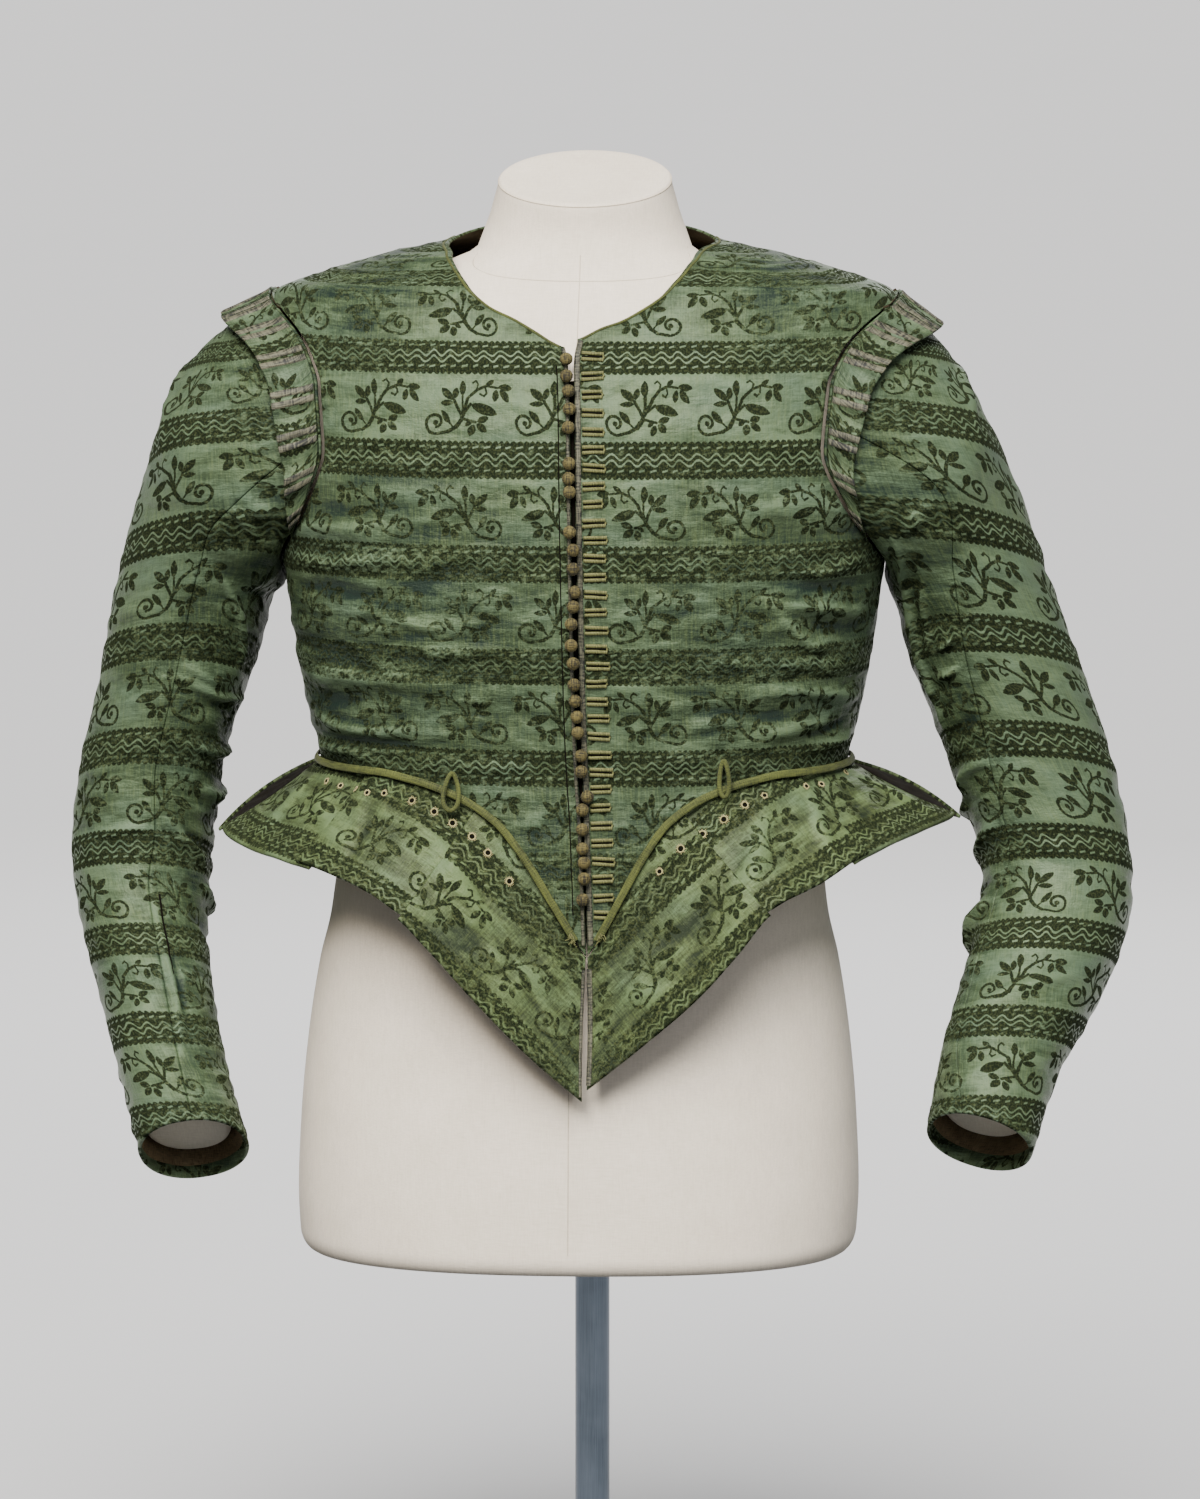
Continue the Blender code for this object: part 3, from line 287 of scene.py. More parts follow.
# width of the opening between the two fronts
GAP = SmoothTable("height* width*", (
    430, 3, 519, 1, 600, 1, 630, 2.6, 880, 3, 897, 4, 908.5, 9))
# height of the waist seam by angle from the centre front
WAIST = SmoothTable("angle height*", (
    0, 519, 5.6, 553.5, 11, 584, 16, 604, 24, 619, 34, 627.5, 46, 631.5, 72, 631.5, 90, 631, 135, 624, 180, 615))
# armhole, from the top of the shoulder round the front to the underarm and up the back
ARMHOLE = SmoothTable("phi angle height*", (
    0, 96, 934, 12, 80, 930, 30, 61, 916, 45, 52, 899, 60, 48.5, 879, 90, 48.5, 841, 120, 55.5, 806, 150, 70, 777,
    180, 88.3, 762, 210, 110, 777, 240, 123, 806, 270, 129, 841, 300, 129, 879, 315, 126.5, 899, 330, 119, 916, 348,
    107, 930, 360, 96, 934))
# neckline of the fronts as distance from the middle and height, and of the back by angle
FRONT_NECK = {
    "right": ((0, 0.905), (0.0165, 0.9135), (0.033, 0.922), (0.049, 0.9285), (0.064, 0.939), (0.075, 0.952), (0.081,
    0.962)),
    "left": ((0, 0.91), (0.015, 0.9165), (0.029, 0.921), (0.046, 0.9295), (0.062, 0.942), (0.073, 0.956), (0.0775,
    0.964)),
}
NECK_SIDE = (96.0, 0.9695)
BACK_NECK = [(180.0, 0.9755), (160.0, 0.9760), (135.0, 0.9755), (115.0, 0.9730), (96.2, 0.9695)]
ARMHOLE_TRIM = {"right": 0.0, "left": 2.5}
# cross rings of the sleeves in millimetres: outer x and z, inner x and z, depth position and half depth
SLEEVE_ROWS = {
    "right": (258, 884, 196.5, 743, 10, 83, 289, 805, 205, 733, 14, 68, 307, 739, 212, 703, 18, 58, 320, 673, 225,
    666, 22, 54, 332, 623, 238, 626, 26, 52, 338, 567, 245, 570, 26, 52, 330, 517, 248, 526, 8, 48, 312, 467, 240,
    477, -30, 44, 295, 421, 226, 431, -68, 41, 281, 382, 211, 394, -100, 39),
    "left": (244, 881, 196.5, 743, 10, 83, 278, 812, 203, 726, 14, 68, 304, 739, 209, 699, 18, 58, 327, 676, 222,
    666, 22, 54, 344, 623, 239, 619, 26, 53, 355, 567, 257, 563, 26, 53, 354, 526, 255, 520, 8, 50, 335, 483, 244,
    483, -30, 45, 310, 440, 233, 450, -68, 41, 291, 387, 225, 408, -102, 39),
}
# angle of the front seam down each sleeve, ring by ring from the armhole
FRONT_SEAM = {
    "right": (84, 102, 97, 95, 95, 98, 105, 103, 104, 101, 99),
    "left": (75, 88, 98, 104, 110, 118, 126, 138, 139, 139, 120),
}
# width of the shoulder wing round the armhole and how far its free edge stands off
WING_COLUMNS = "phi width* stand_off*"
WING_ROWS = {
    "right": (0, 35, 6.5, 30, 31.5, 5.5, 60, 28.5, 4.5, 90, 25, 3.5, 120, 15, 2, 141, 2.5, 1),
    "left": (0, 33.5, 6.5, 30, 30, 5.5, 60, 24, 4.5, 90, 18.5, 3.5, 120, 11, 2, 141, 2.5, 1),
}
# lower edge of the laps: position along the waist, waist angle and edge point
HEM_COLUMNS = "along waist_angle out* y* z*"
HEM_ROWS = {
    "right": (0, 0, -6.4, -143, 428.5, 0.25, 4, 23.7, -152, 455.8, 0.55, 9.5, 61.6, -157, 495.3, 0.8, 14.5, 90,
    -158, 527.1, 1, 20, 110.2, -154, 546.8, 1.5, 35, 150, -132, 566, 2, 50, 183, -104, 574, 2.5, 70, 216, -55, 576,
    3, 92, 239.5, 6, 583, 3.25, 108, 215, 75, 585, 3.5, 128, 165, 125, 575, 3.75, 154, 85, 155, 565, 4, 180, 1, 163,
    560),
    "left": (0, 0, 8.5, -143, 436.1, 0.25, 4, 42, -152, 464, 0.55, 9.5, 80.5, -157, 498.4, 0.8, 14.5, 105.7, -158,
    527.1, 1, 19, 125.9, -154, 551.2, 1.5, 35, 158, -130, 564, 2, 53, 190, -98, 582, 2.5, 72, 223, -45, 590.5, 3,
    92, 243, 6, 595, 3.25, 108, 218, 75, 589, 3.5, 128, 165, 125, 577, 3.75, 154, 85, 155, 566, 4, 180, 1, 163,
    560),
}
# each lap: name, first and last position, run under its neighbour, share of the depth and bow
LAP_ROWS = [
    ("front", 0.0, 1.0, 0.0, 1.0, 0.0025),
    ("fore_side", 1.0, 2.0, 0.16, 0.95, 0.0025),
    ("side", 2.0, 3.0, 0.14, 0.97, 0.0025),
    ("back", 3.0, 4.0, -0.03, 1.04, -0.006),
]
# thread buttons in millimetres: sideways offset from the centre front and height
BUTTON_ROWS = (
    -2.6, 895.6, -2.9, 885.7, -1.9, 876.7, -1.6, 865.8, -2.3, 854.6, -2.1, 832.4, -2.5, 823.2, -2, 815, -2.3, 790.4,
    -0.2, 778.9, -0.5, 767, 0.4, 752.4, -0.8, 743.2, -2.3, 732.2, -2.7, 718.7, -1.7, 707.1, -1.4, 693.5, -1, 683.1,
    -0.2, 672.8, 0.1, 662.4, 1.5, 647.5, 1, 637.2, 4.1, 620.9, 0.6, 612.3, 0.2, 599.7, -0.2, 587.6, 0.4, 578.7, 0.1,
    568.6, -1.3, 555.3)
# upright loops of cord at the waist: angle, height, width, drop below the seam and lean
LOOP_ROWS = {"right": (24.8, 0.024, 0.0125, 0.0110, 1.0), "left": (28.3, 0.023, 0.0075, 0.0050, 0.5)}
WING = {name: SmoothTable(WING_COLUMNS, numbers) for name, numbers in WING_ROWS.items()}
HEM = {name: SmoothTable(HEM_COLUMNS, numbers) for name, numbers in HEM_ROWS.items()}
SEAM = {name: SmoothTable("ring phi", list(enumerate(values))) for name, values in FRONT_SEAM.items()}


def body_point(sign: int, angle: Array, height: Array) -> Array:
    """Points on the doublet's outer surface.

    Args:
        sign: side of the body.
        angle: degrees from the centre front to the centre back.
        height: height of each point.

    Returns:
        An array of points.
    """
    angle, height = paired(angle, height)
    point = BODY.point(sign, angle, height)
    lean = LEAN.at("shift", height) * np.cos(np.radians(angle)) ** 2
    opening = sign * 0.5 * GAP.at("width", height) * np.maximum(0.0, 1.0 - angle / EDGE_FADE)
    behind = sign * 0.5 * SEAM_GAP * np.maximum(0.0, 1.0 - (180.0 - angle) / EDGE_FADE)
    point[..., 0] += np.where(angle < 90.0, lean + opening, behind)
    return point


def angle_across(distance: Union[float, Array], height: Union[float, Array]) -> Array:
    """Angle at which the body's section stands at a distance from the middle."""
    ratio = np.minimum(np.asarray(distance) / BODY.at("half_width", height), 1.0)
    return np.degrees(np.arcsin(ratio ** (BODY.at("roundness", height) / 2.0)))


def edge_run(marks: Sequence[Sequence[float]], share: Array) -> Array:
    """Pairs at shares of a smooth run through equally spaced pairs."""
    keys = np.linspace(0.0, 1.0, len(marks))
    table = SmoothTable("key first second", np.column_stack([keys, np.array(marks, float)]))
    return chart_of(table.at("first", share), table.at("second", share))


def armhole_mark(side: Side, phi: Array) -> Array:
    """Angle and height of the armhole seam at angles round it."""
    phi = np.asarray(phi, float)
    trim = np.where(phi < 180.0, ARMHOLE_TRIM[side.value] * np.sin(np.radians(phi)) ** 2, 0.0)
    return chart_of(ARMHOLE.at("angle", phi) - trim, ARMHOLE.at("height", phi))


def spaced(length: float, step: float = CLOTH_STEP) -> Array:
    """Shares from 0 to 1, about a step apart, with close ones at both ends for a turned edge."""
    count = max(int(round(length / step)), 4)
    inner = np.linspace(0.0, 1.0, count + 1)
    close = np.array([0.35, 0.9, 1.7]) * MM / length
    inner = inner[(inner > close[-1] * 1.3) & (inner < 1.0 - close[-1] * 1.3)]
    return np.concatenate([[0.0], close, inner, 1.0 - close[::-1], [1.0]])


@dataclass(frozen=True)
class Crease:
    """A soft ridge, or with a negative rise a trough, laid in a piece's own sizes."""

    path: Array
    rise: float
    width: float

    def lift(self, places: Array) -> Array:
        """Outward move at flat places of the cloth.

        Args:
            places: array whose last axis holds the two flat coordinates.

        Returns:
            Heights in metres, one for each place.
        """
        starts = grid_run(self.path, 0)
        best = np.full(places.shape[:-1], 1e9)
        spot = np.zeros(places.shape[:-1])
        for number, run in enumerate(np.diff(starts)):
            way = (self.path[number + 1] - self.path[number]) / run
            offset = places - self.path[number]
            along = np.clip(offset @ way, 0.0, run)
            away = np.linalg.norm(offset - along[..., None] * way, axis=-1)
            spot = np.where(away < best, starts[number] + along, spot)
            best = np.minimum(away, best)
        taper = np.sin(np.pi * np.clip(spot / starts[-1] * 0.92 + 0.04, 0.0, 1.0)) ** 0.8
        return self.rise * taper * np.clip(1.0 - (best / self.width) ** 2, 0.0, 1.0) ** 2


def crinkle(places: Array, seed: int, waves: int = 22) -> Array:
    """Fine uneven crinkle of soft silk, most of it level, as a sum of waves 11 to 34 mm long.

    Args:
        places: flat coordinates in metres.
        seed: fixed seed of the waves.
        waves: how many there are.

    Returns:
        Heights, about one at their highest.
    """
    chance = np.random.default_rng(seed)
    total = np.zeros(places.shape[:-1])
    for _ in range(waves):
        turn = chance.normal(0.0, 0.25) + math.pi / 2
        wave = 2 * math.pi / chance.uniform(11 * MM, 34 * MM)
        drift = chance.uniform(-1, 1) * wave * 0.35
        phase = chance.uniform(0, 2 * math.pi)
        first = math.cos(turn) * places[..., 0] + math.sin(turn) * places[..., 1]
        bend = np.sin(drift * places[..., 0] + phase) * 4 * MM
        total += np.sin(wave * (first + bend) + phase) * np.sin(drift * places[..., 0] * 1.7 + 2 * phase)
    return total / math.sqrt(waves / 4)


def across_grid(points: Array) -> Array:
    """Directions square to a grid of points."""
    return np.cross(np.gradient(points, axis=0), np.gradient(points, axis=1))


def facing(points: Array, outward: Array) -> int:
    """One where a grid's own order faces outwards, minus one where it faces the body."""
    return 1 if float(np.sum(across_grid(points) * outward)) > 0 else -1


def shifted(points: Array) -> Array:
    """Points moved with the dressed form against its stand."""
    return points + np.array([DRESS_SHIFT, 0.0, 0.0])


def smooth_mesh(name: str, places: Array, faces: Sequence[Sequence[int]],
                *finishes: bpy.types.Material) -> bpy.types.Mesh:
    """Mesh of smooth faces with its materials."""
    mesh = bpy.data.meshes.new(name)
    mesh.from_pydata(places.tolist(), [], faces)
    mesh.polygons.foreach_set("use_smooth", np.ones(len(faces), dtype=bool))
    for finish in finishes:
        mesh.materials.append(finish)
    return mesh


def place_piece(thing: bpy.types.Object, slot: str, *nodes: str) -> bpy.types.Object:
    """Let a piece ride on the one body and stand for its solids."""
    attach(thing, "root")
    if nodes:
        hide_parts(*nodes)
    LOG.info("%s: %d faces", thing.name, len(thing.data.polygons))
    return thing


@dataclass
class Cloth:
    """One cut piece of cloth as a grid of points with flat coordinates."""

    name: str
    points: Array
    flat: Array
    sign: int
    seed: int
    creases: Tuple[Crease, ...] = ()
    places: Optional[Array] = None
    crinkle_rise: float = 0.35 * MM
    turned: float = 1.4 * MM
    face_layer: Union[int, Array] = Layer.FACE.value
    inner_layer: Union[int, Array] = Layer.LINING.value
    fold: Array = field(init=False)
    inner: Array = field(init=False)

    def __post_init__(self) -> None:
        """Raise the creases and turn the edges in along the outward directions."""
        normals = unit(across_grid(self.points)) * self.sign
        edge = self.edge_distance()
        if self.places is None:
            self.places = self.flat
        lift = sum((crease.lift(self.places) for crease in self.creases), np.zeros(edge.shape))
        # the creases' lift is kept as an attribute that paints their ridges lighter and their troughs darker: painted
        # highlight and painted shade
        self.fold = np.clip(lift / FULL_FOLD, -1.0, 1.0)
        lift += crinkle(self.flat, self.seed) * self.crinkle_rise
        lift = np.clip(lift, DEEPEST_FOLD, HIGHEST_FOLD) * smooth(edge / (10 * MM))
        short = np.maximum(self.turned - edge, 0.0)
        dip = np.where(short > 0, self.turned - np.sqrt(np.maximum(self.turned ** 2 - short ** 2, 0.0)), 0.0)
        self.inner = self.points + (np.maximum(lift, -0.5 * MM) * 0.8 - WALL)[..., None] * normals
        self.points = self.points + (lift - 0.75 * dip)[..., None] * normals

    def edge_distance(self) -> Array:
        """Distance of each grid point from the nearest edge of the piece."""
        runs = [(grid_run(self.points, axis), axis) for axis in (0, 1)]
        return np.minimum.reduce([found for run, axis in runs for found in (run, np.take(run, [-1], axis=axis) - run)])

    def build(self, finishes: Sequence[bpy.types.Material], spots: Sequence[float] = (), least: float = 0.0,
              edge: float = 0.75) -> bpy.types.Object:
        """Args:
            finishes: the materials of its layers.
            spots: for each worn spot and each spot of painted shade, two crease coordinates and a radius in
                millimetres, then an amount.
            least: wear and painted shade over the whole piece.
            edge: how much darker, duller and thinner in pile the cloth grows towards its edges.

        Returns:
            The new object, at the origin.
        """
        size = self.points[..., 0].size
        number = np.arange(size).reshape(self.points.shape[:2])
        quads = np.stack([number[:-1, :-1], number[1:, :-1], number[1:, 1:], number[:-1, 1:]], axis=-1)
        loop = np.concatenate([number[:, 0], number[-1, 1:], number[-2::-1, -1], number[0, -2:0:-1]])
        following = np.roll(loop, -1)
        rim = np.stack([loop, loop + size, following + size, following], axis=-1)
        slots = np.concatenate([np.broadcast_to(layer, quads.shape[:2]).ravel()
                                for layer in (self.face_layer, self.inner_layer)] + [0 * loop]).astype(np.int32)
        quads = quads.reshape(-1, 4)
        faces = np.concatenate([quads, quads[:, ::-1] + size, rim])[:, ::self.sign]
        places = shifted(np.concatenate([self.points.reshape(-1, 3), self.inner.reshape(-1, 3)]))
        mesh = smooth_mesh(self.name + "_silk", places, faces.tolist(), *finishes)
        mesh.polygons.foreach_set("material_index", slots)
        corners = np.empty(len(mesh.loops), dtype=np.int32)
        mesh.loops.foreach_get("vertex_index", corners)
        mesh.uv_layers.new(name="cloth").data.foreach_set(
            "uv", self.flat.reshape(-1, 2)[corners % size].astype(np.float32).ravel())
        for name, values in (("wear", self.wear(spots, least, edge)), ("fold", self.fold)):
            layer = mesh.attributes.new(name=name, type="FLOAT", domain="POINT")
            layer.data.foreach_set("value", np.tile(values.ravel(), 2).astype(np.float32))
        mesh.update()
        thing = place_piece(hang(mesh.name, mesh), "cut_velvet_silk", self.name)
        self.declare(thing)
        return thing

    def wear(self, spots: Sequence[float], least: float, edge: float) -> Array:
        """How worn the cloth is at each point and how much shade is painted on it, with build's arguments."""
        amount = np.maximum(least, edge * smooth(1.0 - self.edge_distance() / (22 * MM)))
        for first, second, radius, strength in np.reshape(spots, (-1, 4)) * (MM, MM, MM, 1.0):
            away = np.hypot(self.places[..., 0] - first, self.places[..., 1] - second)
            amount = np.maximum(amount, strength * smooth(1.0 - away / radius))
        return amount

    def declare(self, thing: bpy.types.Object) -> None:
        width, length = (float(np.ptp(self.flat[..., axis])) + 2 * SEAM_ALLOWANCE for axis in (0, 1))
        first = self.points[1:, 1:] - self.points[:-1, :-1]
        second = self.points[:-1, 1:] - self.points[1:, :-1]
        wall = float(0.5 * np.linalg.norm(np.cross(first, second), axis=-1).sum())
        area = min(max(wall * 1.08, 0.31 * width * length), width * length)
        LOG.info("%s: cut %.0f x %.0f mm, %.4f square metres", thing.name, width / MM, length / MM, area)


def climb(sign: int, angle: Array, height: Array) -> Array:
    """Cloth length up the body: the height, plus what the slope of the shoulder adds above the chest."""
    rise = np.maximum(height, CHEST_LEVEL) - CHEST_LEVEL
    return height - rise + walked(lambda share: BODY.point(sign, angle, CHEST_LEVEL + rise * share), 16)


def linear(code: str) -> Colour:
    """Turn an sRGB hex colour into linear red, green, blue and an alpha of one."""
    parts = [int(code[place:place + 2], 16) / 255.0 for place in (1, 3, 5)]
    values = [part / 12.92 if part <= 0.04045 else ((part + 0.055) / 1.055) ** 2.4 for part in parts]
    return values[0], values[1], values[2], 1.0


def add_node(tree: bpy.types.NodeTree, kind: str, values: Optional[Dict] = None) -> bpy.types.Node:
    """Add a node with its settings and links.

    Args:
        tree: the tree that gets it.
        kind: the node's type name.
        values: by name or number, an attribute, an input's value or the socket that feeds it.

    Returns:
        The new node.
    """
    node = tree.nodes.new(kind)
    set_node(tree, node, values or {})
    return node


def set_node(tree: bpy.types.NodeTree, node: bpy.types.Node, values: Dict) -> None:
    """Give a node its settings and links, with add_node's values."""
    for key, value in values.items():
        if isinstance(value, Socket):
            tree.links.new(value, node.inputs[key])
        elif isinstance(key, str) and hasattr(node, key):
            setattr(node, key, value)
        else:
            node.inputs[key].default_value = value


SIGNS = {ast.Add: "ADD", ast.Sub: "SUBTRACT", ast.Mult: "MULTIPLY", ast.Div: "DIVIDE", ast.Pow: "POWER",
         ast.Mod: "FLOORED_MODULO"}
CALLS = {"sin": "SINE", "abs": "ABSOLUTE", "min": "MINIMUM", "max": "MAXIMUM", "sqrt": "SQRT",
         "floor": "FLOOR", "atan2": "ARCTAN2", "clip": "ADD"}


class Recipe:
    """A node tree under work: its named sockets, numbers and colours, and the sums that join them."""

    def __init__(self, tree: bpy.types.NodeTree, **named: Union[float, Colour, Socket]) -> None:
        """Keep the tree and its first named values."""
        self.tree = tree
        self.named = dict(named)

    def sums(self, *rows: str) -> None:
        """Write each row, "name = sum" in Python's signs and the calls of CALLS, and keep its result."""
        for row in rows:
            name, text = row.split(" = ")
            self.named[name] = self.write(ast.parse(text, mode="eval").body)

    def write(self, part: ast.AST) -> Union[float, Colour, Socket]:
        """Write one part of a sum as nodes.

        Args:
            part: the parsed part; clip holds to 0 and 1, and mix blends two colours by a share.

        Returns:
            Its number or colour, or the socket that holds the result.
        """
        if isinstance(part, ast.Constant):
            return float(part.value)
        if isinstance(part, ast.Name):
            return self.named[part.id]
        call = ""
        if isinstance(part, ast.UnaryOp):
            sign, values = "MULTIPLY", [self.write(part.operand), -1.0]
            if isinstance(values[0], float):
                return -values[0]
        elif isinstance(part, ast.BinOp):
            sign, values = SIGNS[type(part.op)], [self.write(part.left), self.write(part.right)]
        else:
            call, values = part.func.id, [self.write(value) for value in part.args]
            if call == "mix":
                blend = {"data_type": "RGBA", **dict(zip((0, 6, 7), values))}
                return add_node(self.tree, "ShaderNodeMix", blend).outputs[2]
            sign = CALLS[call]
            values += [0.0] * (call == "clip")
        settings = {"operation": sign, "use_clamp": call == "clip", **dict(enumerate(values))}
        return add_node(self.tree, "ShaderNodeMath", settings).outputs[0]

    def speckles(self, place: Socket, **rows: Sequence[float]) -> None:
        """Keep noises, each about 0.5 on average.

        Args:
            place: coordinates.
            rows: for each name the repeats for a unit along the three axes, the octaves, the weight of the
                finer ones, and a shift to another stretch of the noise.
        """
        for name, (*scale, detail, rough, shift) in rows.items():
            turned = add_node(self.tree, "ShaderNodeMapping", {"Scale": scale, "Location": (shift, shift * 0.7, 0.0),
                                                               "Vector": place})
            noise = {"Scale": 1.0, "Detail": detail, "Roughness": rough, "Vector": turned.outputs[0]}
            self.named[name] = add_node(self.tree, "ShaderNodeTexNoise", noise).outputs["Fac"]

    def millimetres(self, on_chart: bool) -> Socket:
        """Coordinates in millimetres, on the piece's flat chart or on the object."""
        source = (add_node(self.tree, "ShaderNodeUVMap", {"uv_map": "cloth"}).outputs[0] if on_chart
                  else add_node(self.tree, "ShaderNodeTexCoord").outputs["Object"])
        return add_node(self.tree, "ShaderNodeVectorMath", {"operation": "SCALE", "Scale": 1000.0,
                                                            0: source}).outputs[0]

    def finished(self, material: bpy.types.Material, strength: float, depth: float,
                 values: Dict) -> bpy.types.Material:
        """Set the material's shader from the named colour, rough and relief.

        Args:
            material: the material whose tree this is.
            strength: strength of the relief.
            depth: metres of a unit of relief.
            values: the shader's other inputs.

        Returns:
            The material.
        """
        bump = add_node(self.tree, "ShaderNodeBump", {"Strength": strength, "Distance": depth,
                                                      "Height": self.named["relief"]})
        set_node(self.tree, self.tree.nodes["Principled BSDF"],
                 {"Base Color": self.named["colour"], "Roughness": self.named["rough"], "Normal": bump.outputs[0],
                  **values})
        return material


def new_material(name: str) -> bpy.types.Material:
    """Material with a Principled shader."""
    material = bpy.data.materials.new(name)
    material.use_nodes = True
    return material


# figures of the woven sprig, in millimetres of cloth: from, to, half width and how much the sides belly
LEAVES = (
    24.6, 27, 24.5, 37.6, 2.3, 18.6, 24.6, 10, 32.2, 2.5, 19.2, 25.4, 20.6, 32.6, 2.1, 18.6, 23, 9.6, 22.6, 1.8,
    15.8, 10.6, 9.6, 18.4, 2.1, 30.6, 21.8, 46.4, 16.4, 3.2, 47.4, 33.2, 56, 32.4, 2.3, 48.4, 31.4, 54.2, 23.4, 2.4,
    46.2, 31.4, 44.4, 23.8, 2.1, 39.8, 33.6, 44.8, 37.8, 1.6, 33.6, 11.6, 40.6, 14.4, 2.2, 33.4, 10.4, 39.4, 5.4,
    2.4, 31.6, 9.8, 29.2, 3, 2.4, 30.6, 12.4, 26, 9, 1.6)
STEMS = (
    7, 3.7, 14.9, 5.4, 1, 14.9, 5.4, 19.8, 8.4, 1.2, 19.8, 8.4, 22.9, 12.9, 1.4, 22.9, 12.9, 24.4, 18.6, 1.3, 24.4,
    18.6, 24.7, 27, 0.8, 24.2, 16, 28.8, 25.8, 1.2, 28.8, 25.8, 34.4, 31, 1, 34.4, 31, 40, 33.6, 0.9, 40, 33.6, 47,
    32.6, 0.8, 22.8, 16, 18.8, 24.6, 1, 24.4, 16.8, 30.4, 22.2, 0.9, 23.4, 13.6, 32.4, 11.4, 0.9, 18, 8.2, 15.6, 10.8,
    0.6, 34.4, 31, 35.4, 34.8, 0.6, 35.4, 34.8, 33.5, 37.2, 0.6, 33.5, 37.2, 31.6, 35.8, 0.7, 39.2, 32.6, 39.9, 29.2,
    0.6, 39.9, 29.2, 38.3, 27.2, 0.6, 38.3, 27.2, 36.4, 28.4, 0.7)


def new_group(name: str, kind: str, inputs: Dict[str, str], outputs: Dict[str, str]) -> bpy.types.NodeTree:
    """Node group with named inputs and outputs, each with the kind of its socket."""
    tree = bpy.data.node_groups.new(name, kind + "NodeTree")
    for way, sockets in (("INPUT", inputs), ("OUTPUT", outputs)):
        for socket, sort in sockets.items():
            tree.interface.new_socket(socket, in_out=way, socket_type="NodeSocket" + sort)
    return tree


class WovenFigures:
    """The repeat of zigzag bands and mirrored rows of sprigs, as one node group in cloth millimetres."""

    def __init__(self) -> None:
        """Build the group of one leaf or stem and the group of the whole repeat."""
        self.petal = self.one_petal()
        self.group = self.whole_repeat()

    @staticmethod
    def one_petal() -> bpy.types.NodeTree:
        """Group that measures how far a point lies inside one leaf or stem."""
        tree = new_group("leaf or stem", "Shader", {"Place": "Vector", "From": "Vector", "Run": "Vector",
                                                    "Share": "Float", "Half": "Float", "Belly": "Float"},
                         {"Inside": "Float"})
        given = add_node(tree, "NodeGroupInput").outputs
        kind = "ShaderNodeVectorMath"
        offset = add_node(tree, kind, {"operation": "SUBTRACT", 0: given["Place"], 1: given["From"]}).outputs[0]
        along = add_node(tree, kind, {"operation": "DOT_PRODUCT", 0: offset, 1: given["Run"]}).outputs["Value"]
        made = Recipe(tree, along=along, part=given["Share"], half=given["Half"], belly=given["Belly"])
        made.sums("share = clip(along * part)")
        foot = add_node(tree, kind, {"operation": "SCALE", 0: given["Run"], "Scale": made.named["share"]}).outputs[0]
        made.named["away"] = add_node(tree, kind, {"operation": "DISTANCE", 0: offset, 1: foot}).outputs["Value"]
        made.sums("inside = half * (4 * share * (1 - share)) ** belly - away")
        add_node(tree, "NodeGroupOutput", {"Inside": made.named["inside"]})
        return tree

    def whole_repeat(self) -> bpy.types.NodeTree:
        """Group that gives the cover of pile at a place on the cloth."""
        tree = new_group("bands and sprigs", "Shader", {"U": "Float", "V": "Float", "Ragged": "Float"},
                         {"Pile": "Float"})
        given = add_node(tree, "NodeGroupInput").outputs
        made = Recipe(tree, u=given["U"], v=given["V"], noise=given["Ragged"], row_height=ROW_HEIGHT,
                      pitch=SPRIG_PITCH, band_height=BAND_HEIGHT)
        made.sums("ragged = (noise - 0.5) * 0.9",
                  "row = floor((v + 12) / row_height)",
                  "y = v + 12 - row_height * row",
                  # every second row is mirrored and set over by part of a repeat
                  "odd = row % 2",
                  "across = u + odd * (49 - 2 * u)",
                  "x = (across + 1.5) % pitch - 1.5",
                  "rise = y - band_height",
                  # the curl at the foot of the sprig is a spiral round a knob
                  "swing = atan2(rise - 10.8, x - 6.2)",
                  "share = ((-1.5708 - swing) % 6.28319) / 6.28319",
                  "reach = sqrt((x - 6.2) * (x - 6.2) + (rise - 10.8) * (rise - 10.8))",
                  "inside = max(1.0 - abs(reach - 7.0 + 4.6 * share), 1.7 - reach)")
        place = add_node(tree, "ShaderNodeCombineXYZ", {0: made.named["x"], 1: made.named["rise"]}).outputs[0]
        for rows, belly in ((LEAVES, 0.75), (STEMS, 0.0)):
            for first_x, first_y, last_x, last_y, half in np.reshape(rows, (-1, 5)).tolist():
                run_x, run_y = last_x - first_x, last_y - first_y
                leaf = {"node_tree": self.petal, "From": (first_x, first_y, 0.0), "Run": (run_x, run_y, 0.0),
                        "Share": 1.0 / (run_x ** 2 + run_y ** 2), "Half": half, "Belly": belly, "Place": place}
                made.named["leaf"] = add_node(tree, "ShaderNodeGroup", leaf).outputs[0]
                made.sums("inside = max(inside, leaf)")
        # a scalloped band holds two waves of light thread between two rows of dashes
        made.sums("sprig = clip((inside + ragged) * 2.6 + 0.5)",
                  "scallop = 1.5 * abs(sin(u * 0.76624))",
                  "edge = min(y - 1.5 + scallop, 22.5 + scallop - y)",
                  "wave = y - 12.2 - 1.9 * sin(u * 0.561)",
                  "lines = 0.68 - abs(abs(wave) - 1.95)",
                  "dashes = min(0.62 - abs(abs(y - 12.2 - (u % 7) * 0.25) - 7.2), 1.8 - abs(u % 7 - 1.9))",
                  "light = clip((max(lines, dashes) + ragged) * 2.2 + 0.5)",
                  "band = clip((edge + ragged) * 2.2 + 0.5) * (1 - light)",
                  "pile = max(sprig, band)")
        add_node(tree, "NodeGroupOutput", {"Pile": made.named["pile"]})
        return tree


